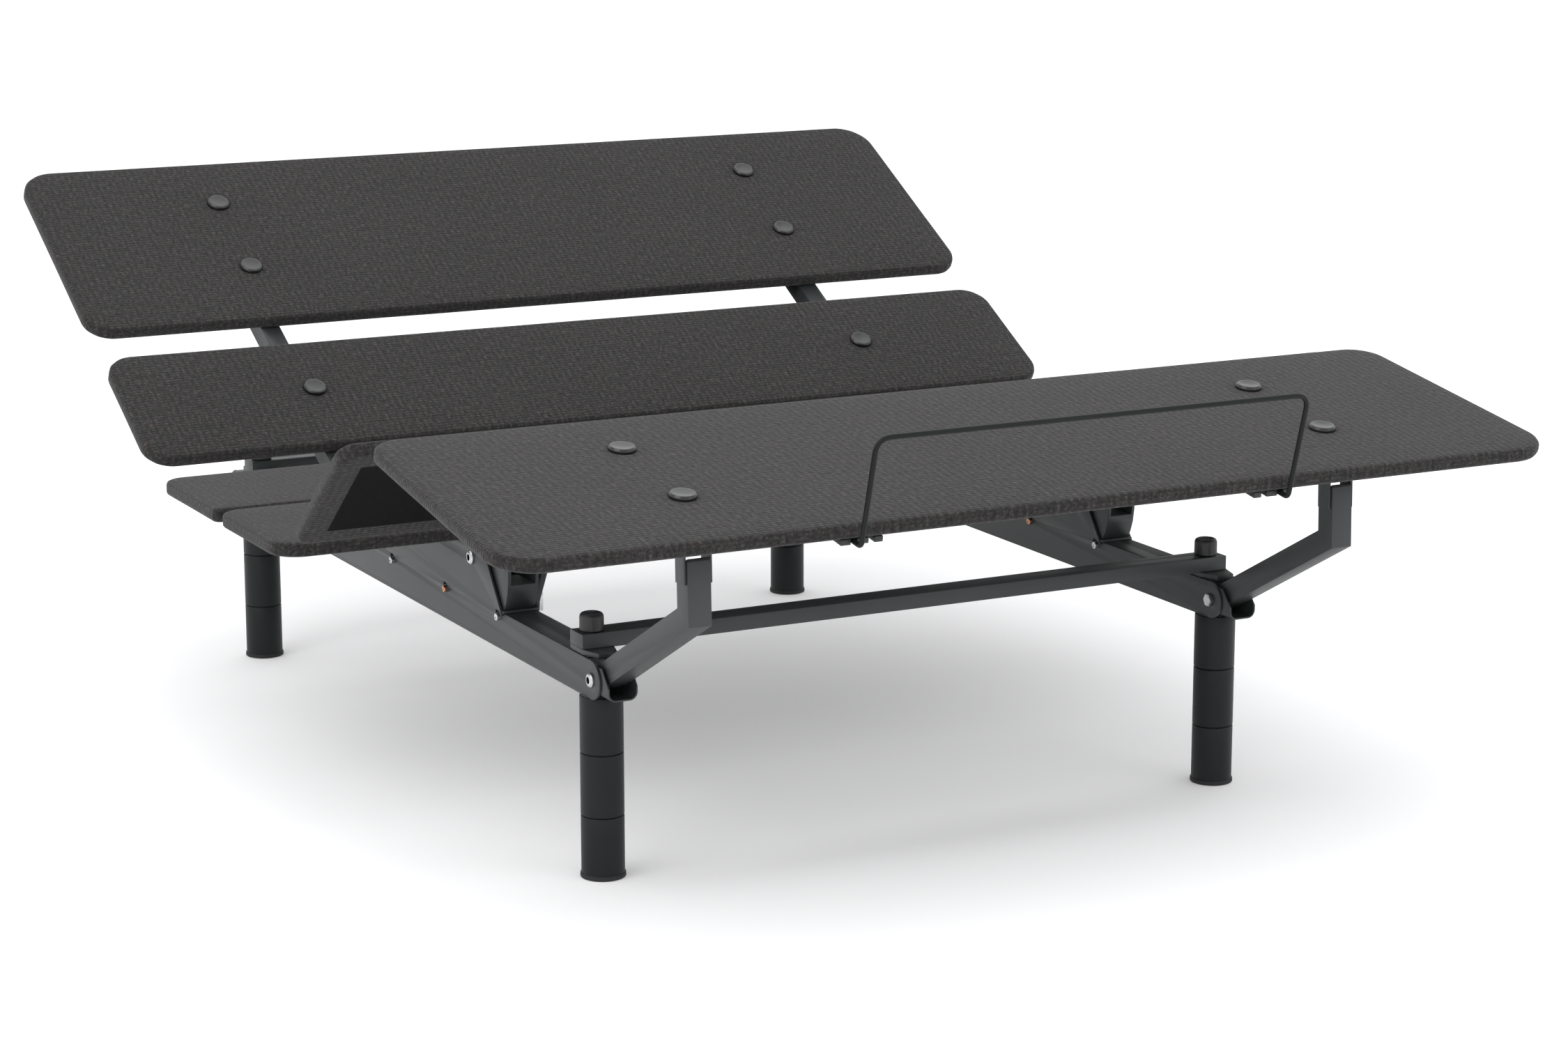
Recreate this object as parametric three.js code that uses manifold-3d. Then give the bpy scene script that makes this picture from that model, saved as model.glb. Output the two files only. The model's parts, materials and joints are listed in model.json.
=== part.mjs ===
// Adjustable bed base, full size: a steel base on four sectional legs, with six fabric-wrapped boards
// on a head frame, a seat frame, a thigh frame and a foot frame that fold about cross axes.
// Millimetres. +X to the sleeper's left, +Y towards the head, +Z up; drawn with the head raised,
// the knees raised and the calf board sloping down to the foot end.
import * as THREE from "three";
import { mergeVertices } from "three/addons/utils/BufferGeometryUtils.js";
import Module from "manifold-3d";

const wasm = await Module();
wasm.setup();

// ---- Driving dimensions -------------------------------------------------------------------------
const GAP = 0.3; // clearance kept between pieces that touch

const BOARD_WIDTH = 1371.6; // a 54 in mattress
const BOARD_THICKNESS = 18; // board with its fabric wrap
const SEAT_TOP = 350; // height of the seat boards' top above the floor
const HINGE_DROP = 32.4; // hinge axes lie this far under the boards' top

const TUBE = 28; // square tube of the moving frames
const TUBE_WALL = 2;
const SIDE_X = 424; // centre line of each side's rail, arms and legs

const RAIL_WIDTH = 43;
const RAIL_HEIGHT = 46;
const RAIL_WALL = 2.5;
const RAIL_Z = 242.5; // centre height of the side rails
const RAIL_TOP = RAIL_Z + RAIL_HEIGHT / 2;
const RAIL_BOTTOM = RAIL_Z - RAIL_HEIGHT / 2;

const HEAD_ANGLE = THREE.MathUtils.degToRad(28.7); // head frame above horizontal
const THIGH_ANGLE = THREE.MathUtils.degToRad(39.6); // thigh frame above horizontal
const FOOT_ANGLE = THREE.MathUtils.degToRad(9.0); // foot frame below horizontal

// Hinge axes: places along the bed are measured from the middle of the foot crossbar's knobs.
const HEAD_HINGE = { y: 789.9, z: SEAT_TOP - HINGE_DROP };
const THIGH_HINGE = { y: 292.5, z: SEAT_TOP - HINGE_DROP };
const THIGH_LENGTH = 290.5; // thigh hinge to knee hinge
const FOOT_LINK = 346.4; // knee hinge to the foot arm's upper pivot
const ARM_HINGE = { y: -49.5, z: RAIL_Z }; // foot arm on the rail's round end

const LEG_RADIUS = 25.5;
const LEG_SECTION = 75.2;
const FRONT_LEG_Y = -30.2;
const REAR_LEG_Y = 1133.7;
const RAIL_REAR = REAR_LEG_Y + 40;
const LEG_TOP = RAIL_BOTTOM - GAP;
const LEG_LEVELS = [
  { name: "bottom", from: 0, to: LEG_SECTION, flare: 1.4 },
  { name: "middle", from: LEG_SECTION + GAP, to: 2 * LEG_SECTION, flare: 0.3 },
  { name: "top", from: 2 * LEG_SECTION + GAP, to: LEG_TOP, flare: 0.3 },
];
const LEG_STUD = { length: 8, holeDepth: 12 };
const LEG_BRACKET = { wall: 2, lift: 4.5, above: 18, behind: 38, corner: 10, spoutLip: 16, spoutRun: 22 };

const CROSSBAR = { depth: 35, height: 18, halfLength: 443.5, bottom: 271.2, wall: 2.5, solidEnd: 60 };
const CROSSBAR_SEAT = { halfWidth: 20, tipHalfWidth: 12, behind: 16, taper: 0.4, reach: 45 };
const KNOB = { radius: 14.4, topRadius: 12.8, height: 21, shoulder: 19, screwLength: 34 };
const FRONT_CROSSBAR_Y = -5.4;
const REAR_CROSSBAR_Y = 1122;

const CAP_OFFSET = 6.5; // cap bolts stand this far to +X of the tubes' centre lines
const SCREW_RADIUS = 5;
const PIVOT_RADIUS = 6;
const PIVOT_CLEARANCE = 0.35;
const PIVOT_HEAD = { radius: 8.5, height: 4, nutHeight: 5 };
const CAP = { radius: 17, crown: 12, rise: 7, shoulder: 5.2, rim: 2, nutRadius: 8.5, nutHeight: 7 };
const LUG = { radius: 11, halfWidth: 4, rootDepth: 5 }; // straps that the motors' pins go through

// Boards: start and length along the bed, measured from the hinge that carries them.
const HEAD_LOWER = { from: 43.7, length: 222.3 };
const HEAD_UPPER = { from: 322.3, length: 376.2 };
const SEAT_REAR = { from: 555.1, length: 216.9 };
const SEAT_FRONT = { from: 322.8, length: 226.9 };
const THIGH_BOARD = { from: 51, length: 217.5 };
const FOOT_BOARD = { from: 35.2, length: 394.2 };

// Head frame, measured from its hinge.
const HEAD_BOLT_ROWS = [159.5, 440.5, 594];
const HEAD_CROSS_TUBES = [96, 230, 400, 620];
const HEAD_ARM_LENGTH = 650;
const HEAD_LUG = { x: 60, y: 20, z: -120 }; // where the head motor's rod pushes

// Seat frame: side plates that straddle the rails, hooked over studs on them.
const PLATE = 3; // side plate thickness
const SADDLE = { front: 201.5, rear: 858, bottom: 263.5, top: SEAT_TOP - BOARD_THICKNESS - GAP };
const SADDLE_CORNER = { frontRun: 51, rearRun: 60, rearRise: 30, chamfer: 12 };
const SADDLE_WEB = { front: 200, rear: 800 };
const HOOK = { halfWidth: 6, height: 5 };
const STUD = { radius: 4.5, length: 5, drop: 3.5 };
const STUD_PLACES = [213.3, 378.4, 557.5];
const SEAT_CROSS_TUBES = [430, 700];
const CRADLE = { front: 190, rear: 246, footFront: 207, footRear: 240, halfWidth: 20, clearance: 2 };
const CONTROL_BOX = { left: 170, right: 330, front: 500, rear: 640, height: 42 };
const SOCKET = { left: 225, right: 275, depth: 12, low: 32, high: 12 };

// Motors: each turns on a pin under a seat cross tube and pushes a lug of the frame that it lifts.
const MOTOR = { halfWidth: 20, halfHeight: 22, rod: 9, forkGap: 4.6, forkWall: 5, rodStart: 160 };
const MOTOR_CAN = { radius: 17, length: 88, middle: 98, offset: 14 };
const HEAD_MOTOR = { x: HEAD_LUG.x, y: SEAT_CROSS_TUBES[0], z: 279, length: 250 };
const FOOT_LUG = { x: -378, y: 20, z: -58 }; // on the thigh frame
const FOOT_MOTOR = { x: FOOT_LUG.x, y: SEAT_CROSS_TUBES[1], z: 276, length: 250 };

// Thigh frame, measured from its hinge, and the ears that carry the knee hinge.
const THIGH_CROSS_TUBES = [-128, -235];
const EAR = { wall: 2.5, radius: 11, clearance: 0.6, overlap: 70, shimStart: 30 };

// Foot frame, measured from the knee hinge, and the mattress retainer at its end.
const FOOT_BOLT_ROWS = [-144.5, -302];
const FOOT_CROSS_TUBES = [-70, -280];
const FOOT_ARM_OVERRUN = 9; // tube left beyond the arms' pivots
const RETAINER = {
  rod: 3,
  x: 10, // middle of the bar
  halfWidth: 279,
  cornerRadius: 18,
  toeBend: 7,
  lean: THREE.MathUtils.degToRad(6.4),
  y: -441,
  z: 10.9,
  height: 130,
  toe: 34,
};
const CLIP = { x: 269, width: 52, front: -425, rear: -396, low: 7.4, channel: 7.4, spare: 22 };

// Foot arms: cranked tubes from the rails' round ends up to forks about the foot frame's tubes.
const ARM_ELBOW = { y: -276, z: 364 }; // centre line at the crank
const ARM_TUBE_TOP = { frontDrop: 20, rearDrop: 31 }; // below the upper pivot
const ARM_FORK = { radius: 11, clearance: 0.5, reach: 46, shimFrom: 45, shimTo: 33, shimHalf: 10 };
const ARM_FORK_HEAD = { radius: 9, height: 5 };

// ---- Materials ----------------------------------------------------------------------------------
const finish = {
  fabric: { color: 0x4b4846, roughness: 0.95, metalness: 0 },
  steel: { color: 0x34383a, roughness: 0.5, metalness: 0.4 },
  leg: { color: 0x25292b, roughness: 0.55, metalness: 0.2 },
  zinc: { color: 0xb9bdc0, roughness: 0.3, metalness: 0.9 },
  cap: { color: 0x1b1d1f, roughness: 0.25, metalness: 0.3 },
  plastic: { color: 0x151617, roughness: 0.6, metalness: 0 },
};

// ---- Solid helpers ------------------------------------------------------------------------------
const bed = new THREE.Group();

function solidOf(geometry) {
  const plain = geometry.clone();
  plain.deleteAttribute("normal");
  plain.deleteAttribute("uv");
  const merged = mergeVertices(plain, 1e-4);
  return new wasm.Manifold(
    new wasm.Mesh({
      numProp: 3,
      vertProperties: new Float32Array(merged.attributes.position.array),
      triVerts: new Uint32Array(merged.index.array),
    }),
  );
}

function geometryOf(solid) {
  const mesh = solid.getMesh();
  const geometry = new THREE.BufferGeometry();
  const positions = new THREE.BufferAttribute(new Float32Array(mesh.vertProperties), 3);
  geometry.setAttribute("position", positions);
  geometry.setIndex(new THREE.BufferAttribute(new Uint32Array(mesh.triVerts), 1));
  const flat = geometry.toNonIndexed();
  flat.computeVertexNormals();
  return flat;
}

function join(solids) {
  return solids.reduce((whole, piece) => whole.add(piece));
}

function cut(solid, tools) {
  return tools.reduce((rest, tool) => rest.subtract(tool), solid);
}

// A box from its low corner to its high corner, each given as [x, y, z].
function box(low, high) {
  const size = high.map((value, axis) => value - low[axis]);
  const centre = high.map((value, axis) => (value + low[axis]) / 2);
  return solidOf(new THREE.BoxGeometry(...size).translate(...centre));
}

function cylinder(radius, length, segments, axis, [x, y, z]) {
  const geometry = new THREE.CylinderGeometry(radius, radius, length, segments);
  if (axis === "x") geometry.rotateZ(Math.PI / 2);
  if (axis === "z") geometry.rotateX(Math.PI / 2);
  return solidOf(geometry.translate(x, y, z));
}

// A turned piece about +Z: profile points are [radius, z], from the axis back to the axis.
function turned(profile, segments, [x, y, z]) {
  const points = profile.map(([r, h]) => new THREE.Vector2(r, h));
  const geometry = new THREE.LatheGeometry(points, segments).rotateX(Math.PI / 2);
  const solid = solidOf(geometry.translate(x, y, z));
  return solid.volume() > 0 ? solid : solidOf(flipped(geometry));
}

function flipped(geometry) {
  const index = geometry.index.array;
  for (let i = 0; i < index.length; i += 3) [index[i], index[i + 1]] = [index[i + 1], index[i]];
  return geometry;
}

// A side profile, a THREE.Shape or a list of [y, z] points, given thickness from x0 to x1.
function sideways(profile, x0, x1, curveSegments = 8) {
  const shape = Array.isArray(profile)
    ? new THREE.Shape(profile.map(([y, z]) => new THREE.Vector2(y, z)))
    : profile;
  const geometry = new THREE.ExtrudeGeometry(shape, {
    depth: x1 - x0,
    bevelEnabled: false,
    curveSegments,
  });
  const axes = new THREE.Matrix4().makeBasis(
    new THREE.Vector3(0, 1, 0),
    new THREE.Vector3(0, 0, 1),
    new THREE.Vector3(1, 0, 0),
  );
  return solidOf(geometry.applyMatrix4(axes).translate(x0, 0, 0));
}

// A cross profile, drawn as [x, z], run from y0 to y1.
function lengthways(shape, y0, y1, curveSegments = 6) {
  const geometry = new THREE.ExtrudeGeometry(shape, {
    depth: y1 - y0,
    bevelEnabled: false,
    curveSegments,
  });
  return solidOf(geometry.rotateX(Math.PI / 2).translate(0, y1, 0));
}

// A plan outline given height from z0 to z1.
function upright(shape, z0, z1, curveSegments = 6) {
  const geometry = new THREE.ExtrudeGeometry(shape, {
    depth: z1 - z0,
    bevelEnabled: false,
    curveSegments,
  });
  return solidOf(geometry.translate(0, 0, z0));
}

function addPart(group, name, solid, look) {
  const mesh = new THREE.Mesh(geometryOf(solid), new THREE.MeshStandardMaterial(finish[look]));
  mesh.name = name;
  group.add(mesh);
}

// A group turned about the X axis at a hinge; what it holds is drawn flat, from the hinge axis.
function hinged(parent, hinge, angle) {
  const group = new THREE.Group();
  group.position.set(0, hinge.y, hinge.z);
  group.rotation.x = angle;
  parent.add(group);
  return group;
}

const sides = [
  { name: "left", sign: -1 },
  { name: "right", sign: 1 },
];

// ---- Boards -------------------------------------------------------------------------------------
// A board with rounded corners, its underside at z, from y0 to y1, drilled for its cap bolts.
function board(y0, y1, z, { endRadius = 40, startRadius = 40, holes = [] } = {}) {
  const half = BOARD_WIDTH / 2;
  const corner = Math.PI / 2;
  const outline = new THREE.Shape();
  outline.absarc(half - startRadius, y0 + startRadius, startRadius, -corner, 0);
  outline.absarc(half - endRadius, y1 - endRadius, endRadius, 0, corner);
  outline.absarc(-half + endRadius, y1 - endRadius, endRadius, corner, 2 * corner);
  outline.absarc(-half + startRadius, y0 + startRadius, startRadius, 2 * corner, 3 * corner);
  const slab = upright(outline, z, z + BOARD_THICKNESS);
  const drills = holes.flatMap((y) =>
    sides.map((side) => screwHole(capX(side), y, z, 60)),
  );
  return cut(slab, drills);
}

const boardBottom = HINGE_DROP - BOARD_THICKNESS; // above the hinge axis

function capX(side) {
  return side.sign * SIDE_X + CAP_OFFSET;
}

// ---- Cap bolts ----------------------------------------------------------------------------------
// A domed cap over the board, its shank through board and tube, and the nut under the tube.
function capBolt(x, y) {
  const top = HINGE_DROP + GAP;
  const tubeBottom = -TUBE / 2 - GAP;
  const profile = [
    [0, top + CAP.rise],
    [CAP.crown, top + CAP.shoulder],
    [CAP.radius, top + CAP.rim],
    [CAP.radius, top],
    [SCREW_RADIUS, top],
    [SCREW_RADIUS, tubeBottom],
    [CAP.nutRadius, tubeBottom],
    [CAP.nutRadius, tubeBottom - CAP.nutHeight],
    [0, tubeBottom - CAP.nutHeight],
  ];
  return turned(profile, 10, [x, y, 0]);
}

function addCapBolts(group, prefix, rows) {
  rows.forEach((y, row) => {
    for (const side of sides) {
      const name = `${prefix}_cap_bolt_${side.name}_${row + 1}`;
      addPart(group, name, capBolt(capX(side), y), "cap");
    }
  });
}

// ---- Tubes --------------------------------------------------------------------------------------
// A straight square tube along Y with open ends.
function tubeAlong(x, y0, y1) {
  const half = TUBE / 2;
  const inner = half - TUBE_WALL;
  const outer = box([x - half, y0, -half], [x + half, y1, half]);
  const bore = box([x - inner, y0 - 40, -inner], [x + inner, y1 + 40, inner]);
  return cut(outer, [bore]);
}

// The two round cheeks that close a tube's walls about its hinge axis.
function hingeCheeks(x) {
  const half = TUBE / 2;
  const disc = (x0, x1) => cylinder(half, x1 - x0, 16, "x", [(x0 + x1) / 2, 0, 0]);
  return [disc(x - half, x - half + TUBE_WALL), disc(x + half - TUBE_WALL, x + half)];
}

function tubeAcross(y, halfLength) {
  const half = TUBE / 2;
  return box([-halfLength, y - half, -half], [halfLength, y + half, half]);
}

function drill(x, y, z = 0, length = TUBE + 30) {
  return cylinder(PIVOT_RADIUS + PIVOT_CLEARANCE, length, 16, "x", [x, y, z]);
}

function screwHole(x, y, z, length) {
  return cylinder(SCREW_RADIUS + GAP, length, 12, "z", [x, y, z]);
}

function boltHoles(rows) {
  return rows.flatMap((y) => sides.map((side) => screwHole(capX(side), y, 0, TUBE + 20)));
}

// ---- Head section -------------------------------------------------------------------------------
// A strap from a cross tube down to the pin that a motor's rod pushes on.
function motorLug(lug, crossY) {
  const start = new THREE.Vector2(crossY, -LUG.rootDepth);
  const end = new THREE.Vector2(lug.y, lug.z);
  const along = end.clone().sub(start).normalize();
  const across = new THREE.Vector2(-along.y, along.x).multiplyScalar(LUG.radius);
  const turn = Math.atan2(across.y, across.x);
  const shape = new THREE.Shape();
  shape.moveTo(start.x + across.x, start.y + across.y);
  shape.lineTo(start.x - across.x, start.y - across.y);
  shape.absarc(end.x, end.y, LUG.radius, turn - Math.PI, turn);
  shape.closePath();
  return sideways(shape, lug.x - LUG.halfWidth, lug.x + LUG.halfWidth, 5);
}

function headFrame() {
  const inner = SIDE_X - TUBE / 2 + 1;
  const arms = sides.flatMap(({ sign }) => [
    tubeAlong(sign * SIDE_X, 0, HEAD_ARM_LENGTH),
    ...hingeCheeks(sign * SIDE_X),
  ]);
  const crossTubes = HEAD_CROSS_TUBES.map((y) => tubeAcross(y, inner));
  const frame = join([...arms, ...crossTubes, motorLug(HEAD_LUG, HEAD_CROSS_TUBES[0])]);
  return cut(frame, [
    drill(-SIDE_X, 0),
    drill(SIDE_X, 0),
    ...boltHoles(HEAD_BOLT_ROWS),
  ]);
}

function addHeadSection() {
  const head = hinged(bed, HEAD_HINGE, HEAD_ANGLE);
  const lowerEnd = HEAD_LOWER.from + HEAD_LOWER.length;
  const upperEnd = HEAD_UPPER.from + HEAD_UPPER.length;
  const lower = board(HEAD_LOWER.from, lowerEnd, boardBottom, { holes: HEAD_BOLT_ROWS.slice(0, 1) });
  const upper = board(HEAD_UPPER.from, upperEnd, boardBottom, {
    endRadius: 50,
    holes: HEAD_BOLT_ROWS.slice(1),
  });
  addPart(head, "head_panel_lower", lower, "fabric");
  addPart(head, "head_panel_upper", upper, "fabric");
  addPart(head, "head_frame", headFrame(), "steel");
  addCapBolts(head, "head", HEAD_BOLT_ROWS);
}

// ---- Seat section -------------------------------------------------------------------------------
// One side plate: sloped front edge, straight foot with a hook slot over each rail stud.
function sidePlate(x0, x1) {
  const { front, rear, bottom, top } = SADDLE;
  const { frontRun, rearRun, rearRise, chamfer } = SADDLE_CORNER;
  const outline = [
    [front, bottom],
    [rear - rearRun, bottom],
    [rear, bottom + rearRise],
    [rear, top - chamfer],
    [rear - chamfer, top],
    [front + frontRun, top],
  ];
  const slots = STUD_PLACES.map((y) =>
    box([x0 - 1, y - HOOK.halfWidth, bottom - 1], [x1 + 1, y + HOOK.halfWidth, bottom + HOOK.height]),
  );
  return cut(sideways(outline, x0, x1), slots);
}

// The cradle that the raised thigh arm drops into: two curved cheeks on a block over the rail.
function thighCradle(sign) {
  const centre = sign * SIDE_X;
  const { front, rear, footFront, footRear, halfWidth, clearance } = CRADLE;
  const base = RAIL_TOP + GAP;
  const top = SADDLE.top - 4;
  const profile = new THREE.Shape();
  profile.moveTo(footRear, base);
  profile.lineTo(footFront, base);
  profile.quadraticCurveTo(front - 1, base + 20, front, top);
  profile.lineTo(rear, top);
  profile.closePath();
  const cheeks = sideways(profile, centre - halfWidth, centre + halfWidth, 4);
  const channelHalf = TUBE / 2 + clearance;
  const channel = box(
    [centre - channelHalf, front - 40, THIGH_HINGE.z - channelHalf],
    [centre + channelHalf, rear + 54, SADDLE.top + 10],
  );
  return cut(cheeks, [channel]);
}

function seatFrame() {
  const railHalf = RAIL_WIDTH / 2 + GAP;
  const webLow = RAIL_TOP + GAP;
  const plates = sides.flatMap(({ sign }) => {
    const centre = sign * SIDE_X;
    const web = box(
      [centre - railHalf - 1, SADDLE_WEB.front, webLow],
      [centre + railHalf + 1, SADDLE_WEB.rear, webLow + PLATE],
    );
    return [
      sidePlate(centre - railHalf - PLATE, centre - railHalf),
      sidePlate(centre + railHalf, centre + railHalf + PLATE),
      web,
      thighCradle(sign),
    ];
  });
  const inner = SIDE_X - railHalf - 1;
  const tubeZ = SADDLE.top - TUBE / 2;
  const crossTubes = SEAT_CROSS_TUBES.map((y) =>
    box([-inner, y - TUBE / 2, tubeZ - TUBE / 2], [inner, y + TUBE / 2, SADDLE.top]),
  );
  const frame = join([...plates, ...crossTubes, ...motorBrackets(tubeZ)]);
  const holes = sides.flatMap(({ sign }) => [
    drill(sign * SIDE_X, HEAD_HINGE.y, HEAD_HINGE.z),
    drill(sign * SIDE_X, THIGH_HINGE.y, THIGH_HINGE.z),
  ]);
  return cut(frame, holes);
}

// ---- Motors -------------------------------------------------------------------------------------
// A plate under each seat cross tube, drilled for the motor's rear pin.
function motorBrackets(tubeZ) {
  return [HEAD_MOTOR, FOOT_MOTOR].map(({ x, y, z }) => {
    const profile = [
      [y - 12, tubeZ],
      [y + 12, tubeZ],
      [y + 10, z - 6],
      [y + 5, z - 12],
      [y - 5, z - 12],
      [y - 10, z - 6],
    ];
    const plate = sideways(profile, x - LUG.halfWidth, x + LUG.halfWidth);
    return cut(plate, [drill(x, y, z)]);
  });
}

// Motor body along +Y from its rear pin: fork, gear housing, motor can and outer tube.
function motorBody(length, canSide) {
  const { halfWidth, halfHeight, rod, forkGap, forkWall } = MOTOR;
  const cheek = (x0, x1) => box([x0, -13, -12], [x1, 32, 12]);
  const fork = [cheek(forkGap, forkGap + forkWall), cheek(-forkGap - forkWall, -forkGap)];
  const pin = cylinder(PIVOT_RADIUS, 2 * (forkGap + forkWall), 12, "x", [0, 0, 0]);
  const housing = box([-halfWidth, 28, -halfHeight], [halfWidth, 92, halfHeight]);
  const canPlace = [canSide * (halfWidth + MOTOR_CAN.offset), MOTOR_CAN.middle, 0];
  const can = cylinder(MOTOR_CAN.radius, MOTOR_CAN.length, 14, "y", canPlace);
  const outerTube = box([-TUBE / 2, 90, -TUBE / 2], [TUBE / 2, length, TUBE / 2]);
  const bore = cylinder(rod + GAP, length, 12, "y", [0, 100 + length / 2, 0]);
  return cut(join([...fork, pin, housing, can, outerTube]), [bore]);
}

// Motor rod along +Y: a round rod with a fork that straddles the lug; the pin is left out.
function motorRod(start, reach) {
  const { rod, forkGap, forkWall } = MOTOR;
  const end = reach - 34;
  const half = LUG.radius;
  const shank = cylinder(rod, end - start, 12, "y", [0, (end + start) / 2, 0]);
  const bridge = box([-forkGap - forkWall, end - 4, -half], [forkGap + forkWall, end + 6, half]);
  const cheek = (x0, x1) => box([x0, end + 4, -half], [x1, reach + half, half]);
  return join([
    shank,
    bridge,
    cheek(forkGap, forkGap + forkWall),
    cheek(-forkGap - forkWall, -forkGap),
  ]);
}

// Where a point drawn flat in a hinged section lies once the section is turned.
function turnedPoint(hinge, angle, point) {
  const cos = Math.cos(angle);
  const sin = Math.sin(angle);
  return {
    y: hinge.y + point.y * cos - point.z * sin,
    z: hinge.z + point.y * sin + point.z * cos,
  };
}

function addMotor(name, motor, tip) {
  const group = new THREE.Group();
  group.position.set(motor.x, motor.y, motor.z);
  group.rotation.x = Math.atan2(tip.z - motor.z, tip.y - motor.y);
  bed.add(group);
  const reach = Math.hypot(tip.y - motor.y, tip.z - motor.z);
  const canSide = Math.cos(group.rotation.x) > 0 ? -1 : 1;
  addPart(group, `${name}_motor`, motorBody(motor.length, canSide), "plastic");
  addPart(group, `${name}_motor_rod`, motorRod(MOTOR.rodStart, reach), "zinc");
}

function controlBox() {
  const { left, right, front, rear, height } = CONTROL_BOX;
  const { top } = SADDLE;
  const body = box([left, front, top - height], [right, rear, top]);
  const socket = box(
    [SOCKET.left, front - 20, top - SOCKET.low],
    [SOCKET.right, front + SOCKET.depth, top - SOCKET.high],
  );
  return cut(body, [socket]);
}

function addSeatSection() {
  const bottom = SEAT_TOP - BOARD_THICKNESS;
  const rear = board(SEAT_REAR.from, SEAT_REAR.from + SEAT_REAR.length, bottom, {
    startRadius: 12,
    endRadius: 30,
  });
  const front = board(SEAT_FRONT.from, SEAT_FRONT.from + SEAT_FRONT.length, bottom, {
    startRadius: 40,
    endRadius: 30,
  });
  addPart(bed, "seat_panel_rear", rear, "fabric");
  addPart(bed, "seat_panel_front", front, "fabric");
  addPart(bed, "seat_frame", seatFrame(), "steel");
  addPart(bed, "control_box", controlBox(), "plastic");
  addMotor("head", HEAD_MOTOR, turnedPoint(HEAD_HINGE, HEAD_ANGLE, HEAD_LUG));
  addMotor("foot", FOOT_MOTOR, turnedPoint(THIGH_HINGE, -THIGH_ANGLE, FOOT_LUG));
}

// ---- Thigh section ------------------------------------------------------------------------------
// The same side profile on both faces of a tube, from near to far off its centre line.
function bothFaces(profile, x, near, far) {
  return [sideways(profile, x - far, x - near), sideways(profile, x + near, x + far)];
}

// Side ears that carry a hinge beyond a tube's end, joined by the hinge pin.
function kneeEars(x) {
  const { wall, radius, clearance, overlap } = EAR;
  const kneeY = -THIGH_LENGTH;
  const profile = new THREE.Shape();
  profile.moveTo(kneeY + overlap, -radius);
  profile.lineTo(kneeY + overlap, radius);
  profile.absarc(kneeY, 0, radius, Math.PI / 2, (3 * Math.PI) / 2);
  profile.closePath();
  const near = TUBE / 2 + clearance;
  const pin = cylinder(PIVOT_RADIUS, 2 * (near + wall), 16, "x", [x, kneeY, 0]);
  return [...bothFaces(profile, x, near, near + wall), pin];
}

function thighFrame() {
  const kneeY = -THIGH_LENGTH;
  const armEnd = kneeY + TUBE / 2 + 4;
  const shimHalf = TUBE / 2 + EAR.clearance + 0.2;
  const inner = TUBE / 2 - TUBE_WALL;
  const parts = sides.flatMap(({ sign }) => {
    const x = sign * SIDE_X;
    const shim = box(
      [x - shimHalf, kneeY + EAR.shimStart, -EAR.radius],
      [x + shimHalf, kneeY + EAR.overlap, EAR.radius],
    );
    const bore = box([x - inner, kneeY, -inner], [x + inner, 0, inner]);
    const arm = join([tubeAlong(x, armEnd, 0), cut(shim, [bore])]);
    return [arm, ...hingeCheeks(x), ...kneeEars(x)];
  });
  const cross = THIGH_CROSS_TUBES.map((y) => tubeAcross(y, SIDE_X - TUBE / 2 + 1));
  const frame = join([...parts, ...cross, motorLug(FOOT_LUG, THIGH_CROSS_TUBES[0])]);
  return cut(frame, [drill(-SIDE_X, 0), drill(SIDE_X, 0)]);
}

function addThighSection() {
  const thigh = hinged(bed, THIGH_HINGE, -THIGH_ANGLE);
  const far = -THIGH_BOARD.from - THIGH_BOARD.length;
  const panel = board(far, -THIGH_BOARD.from, boardBottom, { startRadius: 24, endRadius: 18 });
  addPart(thigh, "thigh_panel", panel, "fabric");
  addPart(thigh, "thigh_frame", thighFrame(), "steel");
}

// ---- Foot section -------------------------------------------------------------------------------
const KNEE = turnedPoint(THIGH_HINGE, -THIGH_ANGLE, { y: -THIGH_LENGTH, z: 0 });
const ARM_TOP = turnedPoint(KNEE, FOOT_ANGLE, { y: -FOOT_LINK, z: 0 });

function footFrame() {
  const end = -(FOOT_LINK + FOOT_ARM_OVERRUN);
  const arms = sides.map(({ sign }) => {
    const x = sign * SIDE_X;
    return join([tubeAlong(x, end, 0), ...hingeCheeks(x)]);
  });
  const cross = FOOT_CROSS_TUBES.map((y) => tubeAcross(y, SIDE_X - TUBE / 2 + 1));
  const frame = join([...arms, ...cross]);
  return cut(frame, [drill(-SIDE_X, 0), drill(SIDE_X, 0), ...boltHoles(FOOT_BOLT_ROWS)]);
}

// The mattress retainer: a round rod bent into a wide arch whose toes turn in under the board.
function retainerBar() {
  const { halfWidth, cornerRadius, toeBend, height, toe, lean, rod } = RETAINER;
  const leaning = (x, up) => new THREE.Vector3(x, -up * Math.sin(lean), up * Math.cos(lean));
  const half = [
    [new THREE.Vector3(halfWidth, toe, 0)],
    [new THREE.Vector3(halfWidth, toeBend, 0), leaning(halfWidth, 0), leaning(halfWidth, toeBend)],
    [
      leaning(halfWidth, height - cornerRadius),
      leaning(halfWidth, height),
      leaning(halfWidth - cornerRadius, height),
    ],
  ];
  const points = half.flatMap((corner) =>
    corner.length === 1 ? corner : new THREE.QuadraticBezierCurve3(...corner).getPoints(5),
  );
  const mirrored = points.map((point) => new THREE.Vector3(-point.x, point.y, point.z)).reverse();
  return sweptRod([...points, ...mirrored], rod, 8);
}

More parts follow.
